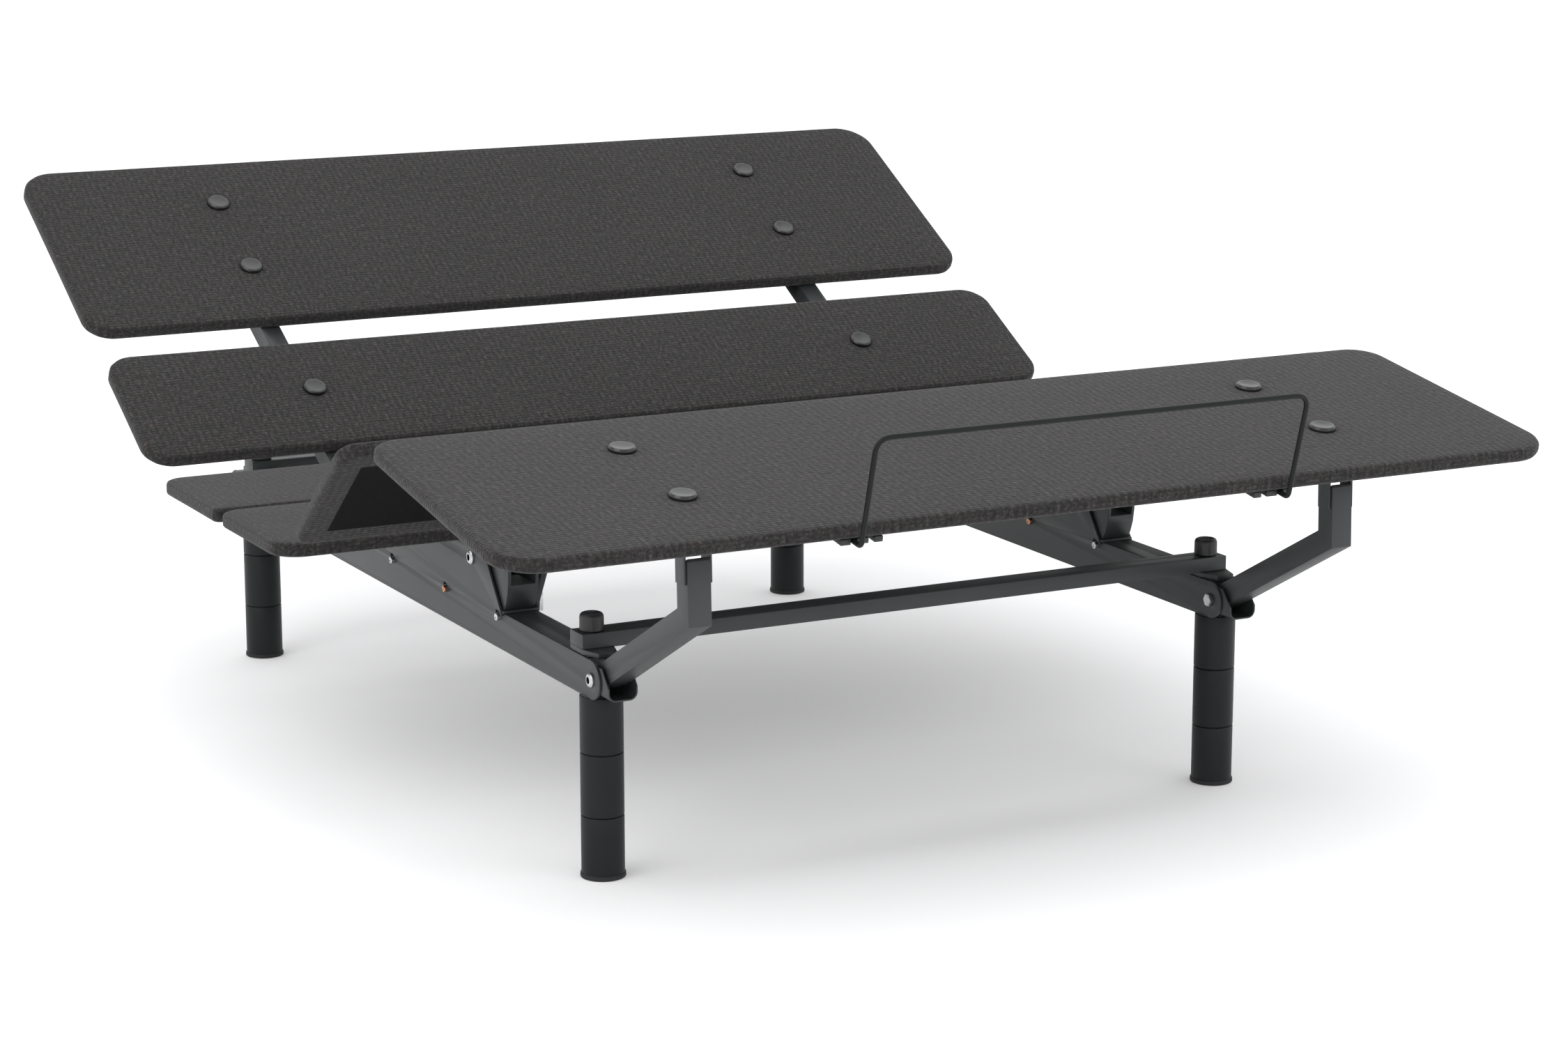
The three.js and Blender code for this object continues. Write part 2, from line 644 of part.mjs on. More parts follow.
// A round rod through a row of points, each ring square to the way the rod runs there.
function sweptRod(points, radius, count) {
  const vertices = [];
  const faces = [];
  const side = new THREE.Vector3(1, 0, 0);
  points.forEach((point, i) => {
    const before = points[Math.max(i - 1, 0)];
    const after = points[Math.min(i + 1, points.length - 1)];
    const inward = point.clone().sub(before).normalize();
    const outward = after.clone().sub(point).normalize();
    const along = inward.add(outward).normalize();
    side.addScaledVector(along, -side.dot(along)).normalize();
    const across = along.clone().cross(side);
    for (let k = 0; k < count; k += 1) {
      const turn = (2 * Math.PI * (k + 0.5)) / count;
      const place = point.clone();
      place.addScaledVector(side, radius * Math.cos(turn));
      place.addScaledVector(across, radius * Math.sin(turn));
      vertices.push(place.x, place.y, place.z);
    }
  });
  const ring = (i, k) => i * count + (k % count);
  for (let i = 0; i + 1 < points.length; i += 1)
    for (let k = 0; k < count; k += 1) {
      faces.push(ring(i, k), ring(i, k + 1), ring(i + 1, k));
      faces.push(ring(i, k + 1), ring(i + 1, k + 1), ring(i + 1, k));
    }
  const last = points.length - 1;
  for (let k = 1; k + 1 < count; k += 1) {
    faces.push(ring(0, 0), ring(0, k + 1), ring(0, k));
    faces.push(ring(last, 0), ring(last, k), ring(last, k + 1));
  }
  const geometry = new THREE.BufferGeometry();
  geometry.setAttribute("position", new THREE.Float32BufferAttribute(vertices, 3));
  geometry.setIndex(faces);
  return solidOf(geometry);
}

// A moulded clip under the foot board's end, with channels from below for the retainer's toe.
function retainerClip(sign) {
  const { x, width, front, rear, low, channel, spare } = CLIP;
  const top = boardBottom - GAP;
  const centre = RETAINER.x + sign * x;
  const block = box([centre - width / 2, front, low], [centre + width / 2, rear, top]);
  const toeX = RETAINER.x + sign * RETAINER.halfWidth;
  const channels = [toeX, toeX - sign * spare].map((at) =>
    box([at - channel / 2, front - 5, low - 5], [at + channel / 2, rear - 4, top + 5]),
  );
  return cut(block, channels);
}

function addFootSection() {
  const foot = hinged(bed, KNEE, FOOT_ANGLE);
  const far = -FOOT_BOARD.from - FOOT_BOARD.length;
  const panel = board(far, -FOOT_BOARD.from, boardBottom, {
    startRadius: 55,
    endRadius: 40,
    holes: FOOT_BOLT_ROWS,
  });
  addPart(foot, "foot_panel", panel, "fabric");
  addPart(foot, "foot_frame", footFrame(), "steel");
  addCapBolts(foot, "foot", FOOT_BOLT_ROWS);
  for (const side of sides)
    addPart(foot, `retainer_clip_${side.name}`, retainerClip(side.sign), "plastic");
  const retainer = new THREE.Group();
  retainer.position.set(RETAINER.x, RETAINER.y, RETAINER.z);
  foot.add(retainer);
  addPart(retainer, "retainer_bar", retainerBar(), "steel");
}

// ---- Foot arms ----------------------------------------------------------------------------------
// The cranked arm from the rail's round end up to the foot frame, drawn in place about its pivot.
// The arm's outline as [y, z] points, inset from its outer faces.
function armOutline(inset, overrun) {
  const half = TUBE / 2 - inset;
  const slope = Math.atan2(ARM_ELBOW.z - ARM_HINGE.z, ARM_HINGE.y - ARM_ELBOW.y);
  const upper = new THREE.Vector2(ARM_TOP.y - ARM_ELBOW.y, ARM_TOP.z - ARM_ELBOW.z).normalize();
  const along = new THREE.Vector2(Math.cos(slope), -Math.sin(slope));
  const lowerNormal = new THREE.Vector2(Math.sin(slope), Math.cos(slope));
  const upperNormal = new THREE.Vector2(upper.y, -upper.x);
  const mitre = lowerNormal.clone().add(upperNormal);
  mitre.multiplyScalar(half / (1 + lowerNormal.dot(upperNormal)));
  const top = new THREE.Vector2(ARM_TOP.y, ARM_TOP.z);
  const { frontDrop, rearDrop } = ARM_TUBE_TOP;
  const front = top.clone().addScaledVector(upper, overrun - frontDrop).addScaledVector(upperNormal, -half);
  const rear = top.clone().addScaledVector(upper, overrun - rearDrop).addScaledVector(upperNormal, half);
  const low = new THREE.Vector2(ARM_HINGE.y, ARM_HINGE.z).addScaledVector(along, -inset);
  return [
    low.clone().addScaledVector(lowerNormal, half),
    new THREE.Vector2(ARM_ELBOW.y, ARM_ELBOW.z).add(mitre),
    rear,
    front,
    new THREE.Vector2(ARM_ELBOW.y, ARM_ELBOW.z).sub(mitre),
    low.clone().addScaledVector(lowerNormal, -half),
  ].map((point) => [point.x, point.y]);
}

// Which way an arm's upper part runs, as an angle above +Y.
function armSlope() {
  return Math.atan2(ARM_TOP.z - ARM_ELBOW.z, ARM_TOP.y - ARM_ELBOW.y);
}

// The [y, z] of a point `back` below the upper pivot along the tube and `aside` across it.
function armPoint(back, aside) {
  const slope = armSlope();
  return [
    ARM_TOP.y - back * Math.cos(slope) - aside * Math.sin(slope),
    ARM_TOP.z - back * Math.sin(slope) + aside * Math.cos(slope),
  ];
}

// The fork at an arm's top: an ear on each face, on shims, with a bolt head outside each ear.
function armFork(x) {
  const { radius, clearance, reach, shimFrom, shimTo, shimHalf } = ARM_FORK;
  const slope = armSlope();
  const ear = new THREE.Shape();
  ear.moveTo(...armPoint(reach, radius));
  ear.lineTo(...armPoint(reach, -radius));
  ear.absarc(ARM_TOP.y, ARM_TOP.z, radius, slope - Math.PI / 2, slope + Math.PI / 2);
  ear.closePath();
  const shim = [
    armPoint(shimFrom, -shimHalf),
    armPoint(shimTo, -shimHalf),
    armPoint(shimTo, shimHalf),
    armPoint(shimFrom, shimHalf),
  ];
  const near = TUBE / 2 + clearance;
  const far = near + EAR.wall;
  const headOffset = far + ARM_FORK_HEAD.height / 2 - 0.5;
  const heads = sides.map(({ sign }) => {
    const place = [x + sign * headOffset, ARM_TOP.y, ARM_TOP.z];
    return cylinder(ARM_FORK_HEAD.radius, ARM_FORK_HEAD.height, 16, "x", place);
  });
  return [
    ...bothFaces(ear, x, near, far),
    ...bothFaces(shim, x, TUBE / 2 - 1, near + 1),
    ...heads,
  ];
}

function footArm(sign) {
  const x = sign * SIDE_X;
  const half = TUBE / 2;
  const tube = sideways(armOutline(0, 0), x - half, x + half);
  const bore = sideways(armOutline(TUBE_WALL, 60), x - half + TUBE_WALL, x + half - TUBE_WALL);
  const nose = cylinder(half, TUBE, 16, "x", [x, ARM_HINGE.y, ARM_HINGE.z]);
  const body = join([cut(join([tube, nose]), [bore]), ...armFork(x)]);
  return cut(body, [drill(x, ARM_HINGE.y, ARM_HINGE.z)]);
}

// ---- Base ---------------------------------------------------------------------------------------
// A side rail: an inverted channel with round walls at both ends and the studs for the side plates.
function sideRail(sign) {
  const centre = sign * SIDE_X;
  const half = RAIL_WIDTH / 2;
  const radius = RAIL_HEIGHT / 2;
  const wall = new THREE.Shape();
  wall.moveTo(RAIL_REAR, RAIL_BOTTOM);
  wall.absarc(RAIL_REAR, RAIL_Z, radius, -Math.PI / 2, Math.PI / 2);
  wall.absarc(ARM_HINGE.y, RAIL_Z, radius, Math.PI / 2, (3 * Math.PI) / 2);
  wall.closePath();
  const walls = [
    sideways(wall, centre - half, centre - half + RAIL_WALL, 7),
    sideways(wall, centre + half - RAIL_WALL, centre + half, 7),
  ];
  const crownFront = ARM_HINGE.y + 27.5;
  const crown = box(
    [centre - half, crownFront, RAIL_TOP - RAIL_WALL],
    [centre + half, RAIL_REAR, RAIL_TOP],
  );
  const studs = STUD_PLACES.flatMap((y) =>
    [-1, 1].map((face) => {
      const place = [centre + face * (half + 2), y, SADDLE.bottom - STUD.drop];
      return cylinder(STUD.radius, STUD.length, 6, "x", place);
    }),
  );
  const pivot = drill(centre, ARM_HINGE.y, RAIL_Z);
  return cut(join([...walls, crown, ...studs]), [pivot, ...crossbarScrewHoles(sign)]);
}

function crossbarScrewHoles(sign) {
  return [FRONT_CROSSBAR_Y, REAR_CROSSBAR_Y].map((y) => screwHole(sign * SIDE_X, y, RAIL_TOP, 30));
}

// The bracket inside a rail's end that the leg screws into: a U channel with round lower corners.
function legBracket(sign, legY, tipY) {
  const { wall, lift, above, behind, corner, spoutLip, spoutRun } = LEG_BRACKET;
  const centre = sign * SIDE_X;
  const half = RAIL_WIDTH / 2 - RAIL_WALL - GAP;
  const low = RAIL_BOTTOM + lift;
  const high = RAIL_Z + above;
  const backY = legY - Math.sign(tipY - legY) * behind;
  const [startY, endY] = [Math.min(tipY, backY), Math.max(tipY, backY)];
  const channel = (inset, top) => {
    const radius = corner - inset;
    const [edge, floor] = [half - inset, low + inset];
    const shape = new THREE.Shape();
    shape.moveTo(centre - edge, top);
    shape.lineTo(centre - edge, floor + radius);
    shape.absarc(centre - edge + radius, floor + radius, radius, Math.PI, 1.5 * Math.PI);
    shape.absarc(centre + edge - radius, floor + radius, radius, 1.5 * Math.PI, 2 * Math.PI);
    shape.lineTo(centre + edge, top);
    shape.closePath();
    return shape;
  };
  const outer = lengthways(channel(0, high), startY, endY, 4);
  const inner = lengthways(channel(wall, high + 5), startY - 5, endY + 5, 4);
  const spoutOutline = [
    [startY - 5, low + spoutLip],
    [startY, low + spoutLip],
    [startY + spoutRun, high + 5],
    [startY - 5, high + 5],
  ];
  const spout = sideways(spoutOutline, centre - RAIL_WIDTH, centre + RAIL_WIDTH);
  const pad = box([centre - 12, legY - 12, RAIL_BOTTOM], [centre + 12, legY + 12, low + 1]);
  const stud = cylinder(SCREW_RADIUS + GAP, 30, 12, "z", [centre, legY, low]);
  const body = cut(outer, tipY < legY ? [inner, spout] : [inner]);
  const pivots = tipY < legY ? [drill(centre, ARM_HINGE.y, RAIL_Z)] : [];
  return cut(join([body, pad]), [stud, ...pivots]);
}

// The tapered plate between a rail's top and the crossbar that is clamped on it.
function crossbarSeat(sign, y, tipY) {
  const { halfWidth, tipHalfWidth, behind, taper } = CROSSBAR_SEAT;
  const centre = sign * SIDE_X;
  const reach = tipY - y;
  const away = -Math.sign(reach) * behind;
  const outline = new THREE.Shape();
  outline.moveTo(centre - halfWidth, y + away);
  outline.lineTo(centre - halfWidth, y + reach * taper);
  outline.lineTo(centre - tipHalfWidth, tipY);
  outline.lineTo(centre + tipHalfWidth, tipY);
  outline.lineTo(centre + halfWidth, y + reach * taper);
  outline.lineTo(centre + halfWidth, y + away);
  outline.closePath();
  return upright(outline, RAIL_TOP + GAP, CROSSBAR.bottom + 1);
}

// A crossbar: an inverted channel with closed ends, on its tapered seats.
function crossbar(y, tipY) {
  const { depth, height, halfLength, bottom, wall, solidEnd } = CROSSBAR;
  const half = depth / 2;
  const bar = box([-halfLength, y - half, bottom], [halfLength, y + half, bottom + height]);
  const hollow = box(
    [-halfLength + solidEnd, y - half + wall, bottom - 10],
    [halfLength - solidEnd, y + half - wall, bottom + height - wall],
  );
  const holes = sides.map(({ sign }) => screwHole(sign * SIDE_X, y, bottom, 70));
  return cut(join([cut(bar, [hollow]), ...sides.map(({ sign }) => crossbarSeat(sign, y, tipY))]), holes);
}

// A hand knob whose screw goes down through crossbar and rail.
function crossbarKnob(x, y) {
  const bottom = CROSSBAR.bottom + CROSSBAR.height + GAP;
  const profile = [
    [0, KNOB.height],
    [KNOB.topRadius, KNOB.height],
    [KNOB.radius, KNOB.shoulder],
    [KNOB.radius, 0],
    [SCREW_RADIUS, 0],
    [SCREW_RADIUS, -KNOB.screwLength],
    [0, -KNOB.screwLength],
  ];
  return turned(profile, 16, [x, y, bottom]);
}

// One leg section: a turned cylinder with a screw stud above and a screw hole below.
function legSection(x, y, bottom, height, flare) {
  const top = height + LEG_STUD.length;
  const profile = [
    [0, top],
    [SCREW_RADIUS, top],
    [SCREW_RADIUS, height],
    [LEG_RADIUS, height],
    [LEG_RADIUS, 3],
    [LEG_RADIUS + flare, 0],
    [SCREW_RADIUS + GAP, 0],
    [SCREW_RADIUS + GAP, LEG_STUD.holeDepth],
    [0, LEG_STUD.holeDepth],
  ];
  return turned(profile, 16, [x, y, bottom]);
}

function addLeg(name, x, y) {
  for (const level of LEG_LEVELS) {
    const section = legSection(x, y, level.from, level.to - level.from, level.flare);
    addPart(bed, `leg_${name}_${level.name}`, section, "leg");
  }
}

// A pivot bolt along X with a domed head outside and a nut inside.
function pivotBolt(sign, y, z, outerFace, innerFace) {
  const { radius, height, nutHeight } = PIVOT_HEAD;
  const length = outerFace - innerFace + 4;
  const middle = sign * ((outerFace + innerFace) / 2);
  const shank = cylinder(PIVOT_RADIUS, length, 16, "x", [middle, y, z]);
  const head = cylinder(radius, height, 16, "x", [sign * (outerFace + GAP + height / 2), y, z]);
  const nut = cylinder(radius, nutHeight, 6, "x", [sign * (innerFace - GAP - nutHeight / 2), y, z]);
  return join([shank, head, nut]);
}

function addBase() {
  const frontTip = FRONT_CROSSBAR_Y - CROSSBAR_SEAT.reach;
  const rearTip = REAR_CROSSBAR_Y + CROSSBAR_SEAT.reach;
  const ends = [
    { name: "front", legY: FRONT_LEG_Y, spout: -90, barY: FRONT_CROSSBAR_Y, tip: frontTip, bar: "foot" },
    { name: "rear", legY: REAR_LEG_Y, spout: 1168, barY: REAR_CROSSBAR_Y, tip: rearTip, bar: "head" },
  ];
  for (const end of ends) {
    addPart(bed, `${end.bar}_crossbar`, crossbar(end.barY, end.tip), "steel");
    for (const { name, sign } of sides) {
      const x = sign * SIDE_X;
      addPart(bed, `leg_bracket_${end.name}_${name}`, legBracket(sign, end.legY, end.spout), "steel");
      addPart(bed, `crossbar_knob_${end.name}_${name}`, crossbarKnob(x, end.barY), "leg");
      addLeg(`${end.name}_${name}`, x, end.legY);
    }
  }
  const railOuter = SIDE_X + RAIL_WIDTH / 2;
  const railInner = SIDE_X - RAIL_WIDTH / 2;
  const plateOuter = railOuter + GAP + PLATE;
  const plateInner = railInner - GAP - PLATE;
  for (const { name, sign } of sides) {
    const arm = pivotBolt(sign, ARM_HINGE.y, ARM_HINGE.z, railOuter, railInner);
    const thigh = pivotBolt(sign, THIGH_HINGE.y, THIGH_HINGE.z, plateOuter, plateInner);
    const head = pivotBolt(sign, HEAD_HINGE.y, HEAD_HINGE.z, plateOuter, plateInner);
    addPart(bed, `side_rail_${name}`, sideRail(sign), "steel");
    addPart(bed, `foot_arm_${name}`, footArm(sign), "steel");
    addPart(bed, `arm_pivot_bolt_${name}`, arm, "zinc");
    addPart(bed, `thigh_pivot_bolt_${name}`, thigh, "zinc");
    addPart(bed, `head_pivot_bolt_${name}`, head, "zinc");
  }
}

addBase();
addSeatSection();
addHeadSection();
addThighSection();
addFootSection();

// The origin is on the floor, under the middle of the bed as drawn.
const extent = new THREE.Box3().setFromObject(bed, true);
bed.position.y = -(extent.min.y + extent.max.y) / 2;

export default bed;
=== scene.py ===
"""Looks of the adjustable bed base: fabric-wrapped boards, powder-coated steel, legs and fittings.

Everything is in metres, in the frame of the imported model. A section is a group of pieces drawn flat
about its hinge: y runs along the bed from the hinge, z is up from the hinge axis.
"""
import json
import math

import bmesh
import bpy
from mathutils import Matrix, Vector, noise


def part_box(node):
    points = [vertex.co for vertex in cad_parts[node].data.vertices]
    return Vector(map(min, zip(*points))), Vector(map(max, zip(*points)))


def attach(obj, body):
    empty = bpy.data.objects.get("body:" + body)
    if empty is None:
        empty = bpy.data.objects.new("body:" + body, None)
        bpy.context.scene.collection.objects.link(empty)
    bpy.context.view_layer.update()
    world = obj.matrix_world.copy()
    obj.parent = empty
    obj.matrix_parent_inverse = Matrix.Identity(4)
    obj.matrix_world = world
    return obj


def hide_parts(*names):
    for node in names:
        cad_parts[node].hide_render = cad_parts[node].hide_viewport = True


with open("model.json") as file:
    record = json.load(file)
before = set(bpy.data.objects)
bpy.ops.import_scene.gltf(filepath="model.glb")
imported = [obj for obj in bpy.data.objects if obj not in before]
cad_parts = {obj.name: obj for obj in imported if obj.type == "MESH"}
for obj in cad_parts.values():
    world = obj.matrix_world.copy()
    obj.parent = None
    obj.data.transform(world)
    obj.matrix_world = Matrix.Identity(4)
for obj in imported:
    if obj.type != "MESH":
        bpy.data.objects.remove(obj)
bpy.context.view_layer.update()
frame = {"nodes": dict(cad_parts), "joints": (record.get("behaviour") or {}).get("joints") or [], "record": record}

# ---- Driving values ------------------------------------------------------------------------------
HEAD_TILT = math.radians(28.7)
THIGH_TILT = math.radians(-39.6)
FOOT_TILT = math.radians(9.0)
BOARD_EDGE = 0.0052  # rounding of the wrapped edges
FOLD_OVER = 0.032  # fabric turned under a board before the dust cover starts
CROWN = 0.0014  # how far the padding lifts a board's top above its rim
SOFT_EDGE = 0.0009  # rounding of bent and cut steel
CLIP_EDGE = 0.0006  # rounding of the retainer clips
CASE_EDGE = 0.0016  # rounding of the motor and control box cases
ARC_STEPS = 14  # spans in each rounded corner of a board
SIDE_SPAN = 0.03  # spacing of the points along a board's straight sides
EDGE_STEPS = 6  # spans in each quarter round of a board's edge
LEG_RADIUS = 0.0255
STUD_RADIUS = 0.005  # screws of the legs and knobs
STUD_LENGTH = 0.008
STUD_CHAMFER = 0.0008
SHANK_RADIUS = 0.0059  # of the pivot bolts
CAP_HEIGHT = 0.007
CAP_NUT_HEIGHT = 0.007
STUDS_FROM_THIGH_HINGE = (-0.0792, 0.0859, 0.265)  # rail studs along the bed
STUD_DROP = 0.0035  # stud centres below the hook slots' mouths
RAIL_HOOK_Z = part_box("seat_frame")[0][2]
LADDER_INNER_X = {  # where the cross tubes of each frame meet its sides
    "head_frame": 0.410,
    "thigh_frame": 0.410,
    "foot_frame": 0.410,
    "seat_frame": 0.3992,
}
ARM_CUT_FRONT = (-0.23856, 0.18651)  # front edge of a foot arm's cut top, (y, z) from its hinge
ARM_CUT_REAR = (-0.21090, 0.17467)  # rear edge of the same
ARM_PLUG_WIDTH = 0.028
ARM_PLUG_RISE = 0.0034
RETAINER_ROD = 0.003  # radius
RETAINER_LEAN = math.radians(6.4)
RETAINER_PLACE = (-0.441, 0.0109)  # foot of the arch, (y, z) in the foot section
RETAINER_HEIGHT = 0.130
RETAINER_CORNER = 0.018
RETAINER_TOE_BEND = 0.007
BEND_STEPS = 10  # spans in each of the retainer's bends
KNOB_HEIGHT = 0.021  # of the drum, without its screw
FLOOR_SIZE = 30.0
SKY_STRENGTH = 1.18
LIGHTS = {  # place, aim, size and power of each soft light
    "key": ((-3.4, -1.6, 3.6), (0.0, 0.0, 0.3), 3.2, 75),
    "fill": ((2.6, -4.4, 2.6), (0.0, -0.2, 0.3), 2.6, 16),
    "top": ((0.4, 1.6, 4.4), (0.0, 0.2, 0.3), 4.0, 30),
}
CAMERA_PLACE = (-2.1242, -4.2517, 1.3199)
CAMERA_DOWN = 12.39  # degrees below level
CAMERA_ROUND = 27.47  # degrees round to the left of the foot end
CAMERA_LENS = 84.3

UPRIGHT = Matrix.Identity(4)

JOINTS = {joint["name"]: joint for joint in frame["joints"]}
BODY_OF = {
    node: body
    for body, nodes in frame["record"]["behaviour"]["bodies"].items()
    for node in nodes
}


# ---- Node helpers --------------------------------------------------------------------------------
class Recipe:
    """A material's node tree, with short calls for the nodes the looks are made of."""

    def __init__(self, name, roughness, metallic=0.0):
        self.material = bpy.data.materials.new(name)
        self.material.use_nodes = True
        self.tree = self.material.node_tree
        self.shader = self.tree.nodes["Principled BSDF"]
        self.shader.inputs["Roughness"].default_value = roughness
        self.shader.inputs["Metallic"].default_value = metallic

    def node(self, kind, **values):
        node = self.tree.nodes.new(kind)
        for name, value in values.items():
            setattr(node, name, value)
        return node

    def link(self, source, target):
        self.tree.links.new(source, target)

    def place(self, source="Object", scale=(1, 1, 1)):
        coordinates = self.node("ShaderNodeTexCoord")
        mapping = self.node("ShaderNodeMapping")
        mapping.inputs["Scale"].default_value = scale
        self.link(coordinates.outputs[source], mapping.inputs["Vector"])
        return mapping.outputs["Vector"]

    def noise(self, vector, scale, detail=3.0, roughness=0.55, distortion=0.0):
        node = self.node("ShaderNodeTexNoise")
        node.inputs["Scale"].default_value = scale
        node.inputs["Detail"].default_value = detail
        node.inputs["Roughness"].default_value = roughness
        node.inputs["Distortion"].default_value = distortion
        self.link(vector, node.inputs["Vector"])
        return node.outputs["Fac"]

    def wave(self, vector, scale, axis, distortion=0.0):
        node = self.node("ShaderNodeTexWave", bands_direction=axis)
        node.inputs["Scale"].default_value = scale
        node.inputs["Distortion"].default_value = distortion
        node.inputs["Detail Scale"].default_value = 2.0
        self.link(vector, node.inputs["Vector"])
        return node.outputs["Fac"]

    def ramp(self, factor, stops):
        node = self.node("ShaderNodeValToRGB")
        elements = node.color_ramp.elements
        while len(elements) < len(stops):
            elements.new(0.5)
        for element, (place, colour) in zip(elements, stops):
            element.position = place
            element.color = (*colour, 1.0)
        self.link(factor, node.inputs["Fac"])
        return node.outputs["Color"]

    def mix(self, factor, first, second, blend):
        node = self.node("ShaderNodeMix", data_type="RGBA", blend_type=blend)
        for value, index in ((factor, 0), (first, 6), (second, 7)):
            socket = node.inputs[index]
            if isinstance(value, (float, tuple)):
                socket.default_value = value if isinstance(value, float) else (*value, 1.0)
            else:
                self.link(value, socket)
        return node.outputs[2]

    def math(self, operation, first, second):
        node = self.node("ShaderNodeMath", operation=operation)
        for value, socket in zip((first, second), node.inputs):
            if isinstance(value, float):
                socket.default_value = value
            else:
                self.link(value, socket)
        return node.outputs[0]

    def range(self, value, low, high):
        node = self.node("ShaderNodeMapRange")
        node.inputs["To Min"].default_value = low
        node.inputs["To Max"].default_value = high
        self.link(value, node.inputs["Value"])
        return node.outputs["Result"]

    def bump(self, height, strength, distance):
        node = self.node("ShaderNodeBump")
        node.inputs["Strength"].default_value = strength
        node.inputs["Distance"].default_value = distance
        self.link(height, node.inputs["Height"])
        self.link(node.outputs["Normal"], self.shader.inputs["Normal"])

    def colour(self, socket):
        self.link(socket, self.shader.inputs["Base Color"])

    def roughness(self, socket):
        self.link(socket, self.shader.inputs["Roughness"])


# ---- Materials -----------------------------------------------------------------------------------
def woven_fabric():
    """Charcoal melange cloth, a plain weave along and across the board; its UVs are in metres."""
    look = Recipe("charcoal_weave", 0.94)
    flat = look.place("UV")
    warp = look.wave(flat, 32.0, "X", 1.2)
    weft = look.wave(flat, 60.0, "Y", 1.2)
    weave = look.math("MULTIPLY", warp, weft)
    streak_along = look.noise(look.place("UV", (300, 95, 1)), 1.0, 2.0, 0.6)
    streak_across = look.noise(look.place("UV", (180, 260, 1)), 1.0, 2.0, 0.6)
    streaks = look.math("ADD", streak_along, streak_across)
    yarn_tones = [
        (0.33, (0.0145, 0.0135, 0.0132)),
        (0.50, (0.028, 0.0262, 0.0260)),
        (0.67, (0.060, 0.056, 0.0545)),
    ]
    yarns = look.ramp(look.math("MULTIPLY", streaks, 0.5), yarn_tones)
    fleck_tints = [
        (0.35, (0.80, 0.88, 0.80)),
        (0.5, (1.0, 1.0, 1.0)),
        (0.66, (1.16, 1.02, 0.96)),
    ]
    tints = look.ramp(look.noise(flat, 55.0, 4.0, 0.7), fleck_tints)
    tinted = look.mix(0.55, yarns, tints, "MULTIPLY")
    cloud = look.range(look.noise(flat, 5.0, 2.0), 0.86, 1.14)
    clouded = look.mix(1.0, tinted, cloud, "MULTIPLY")
    gaps = look.range(weave, 0.78, 1.16)
    look.colour(look.mix(1.0, clouded, gaps, "MULTIPLY"))
    fuzz = look.noise(flat, 900.0, 2.0)
    height = look.math("ADD", weave, look.math("MULTIPLY", fuzz, 0.5))
    look.bump(look.math("ADD", height, streaks), 0.55, 0.0009)
    look.shader.inputs["Sheen Weight"].default_value = 0.12
    look.shader.inputs["Sheen Roughness"].default_value = 0.5
    look.shader.inputs["Specular IOR Level"].default_value = 0.1
    return look.material


def dust_cover():
    """Black spun-bonded cloth stapled under a board, with the dimples of its bonding grid."""
    look = Recipe("dust_cover", 0.88)
    flat = look.place("UV")
    fibres = look.noise(flat, 420.0, 5.0, 0.7, 1.5)
    look.colour(look.ramp(fibres, [(0.3, (0.004, 0.004, 0.0045)), (0.7, (0.010, 0.010, 0.0105))]))
    dimples = look.math("MULTIPLY", look.wave(flat, 90.0, "X"), look.wave(flat, 90.0, "Y"))
    look.bump(look.math("ADD", fibres, dimples), 0.4, 0.0006)
    look.shader.inputs["Specular IOR Level"].default_value = 0.08
    return look.material


def powder_coat(name, dark, light, roughness, gloss):
    """Powder coat: a fine pebble in the surface and a faint cloudiness in colour and gloss."""
    look = Recipe(name, roughness)
    place = look.place()
    cloud = look.noise(place, 7.0, 3.0)
    speck = look.noise(place, 1500.0, 2.0)
    clouded = look.ramp(cloud, [(0.3, dark), (0.7, light)])
    look.colour(look.mix(0.35, clouded, look.range(speck, 0.6, 1.4), "MULTIPLY"))
    scuffs = look.noise(look.place("Object", (3, 60, 60)), 6.0, 4.0, 0.65)
    look.roughness(look.range(look.math("ADD", scuffs, speck), roughness - 0.12, roughness + 0.12))
    look.bump(speck, 0.25, 0.0003)
    look.shader.inputs["Specular IOR Level"].default_value = gloss
    return look.material


def plated_steel(name, base=(0.62, 0.63, 0.64), roughness=0.3):
    """Zinc plate: bright metal with fine scratches and darker patches."""
    look = Recipe(name, roughness, 1.0)
    place = look.place()
    patches = look.noise(place, 120.0, 4.0)
    darker = tuple(0.72 * channel for channel in base)
    look.colour(look.ramp(patches, [(0.3, darker), (0.65, base)]))
    scratches = look.noise(look.place("Object", (40, 600, 600)), 1.0, 3.0)
    look.roughness(look.range(scratches, roughness - 0.1, roughness + 0.16))
    look.bump(scratches, 0.15, 0.0002)
    return look.material


def moulded_plastic(name, base, roughness, grain=700.0, depth=0.0003):
    """Moulded plastic: a spark-eroded grain and a slight change of shade."""
    look = Recipe(name, roughness)
    place = look.place()
    texture = look.noise(place, grain, 2.0)
    cloud = look.noise(place, 18.0, 3.0)
    lighter = tuple(1.5 * channel + 0.002 for channel in base)
    look.colour(look.ramp(cloud, [(0.3, base), (0.75, lighter)]))
    look.roughness(look.range(cloud, roughness - 0.08, roughness + 0.1))
    look.bump(texture, 0.3, depth)
    return look.material


def studio_floor():
    """White studio floor, with a little glow of its own that keeps the shadows light."""
    look = Recipe("studio_floor", 0.9)
    tone = look.noise(look.place(), 0.4, 2.0)
    look.colour(look.ramp(tone, [(0.3, (0.86, 0.86, 0.865)), (0.7, (0.885, 0.885, 0.89))]))
    look.shader.inputs["Specular IOR Level"].default_value = 0.1
    look.shader.inputs["Emission Color"].default_value = (1.0, 0.995, 0.99, 1.0)
    look.shader.inputs["Emission Strength"].default_value = 0.17
    return look.material


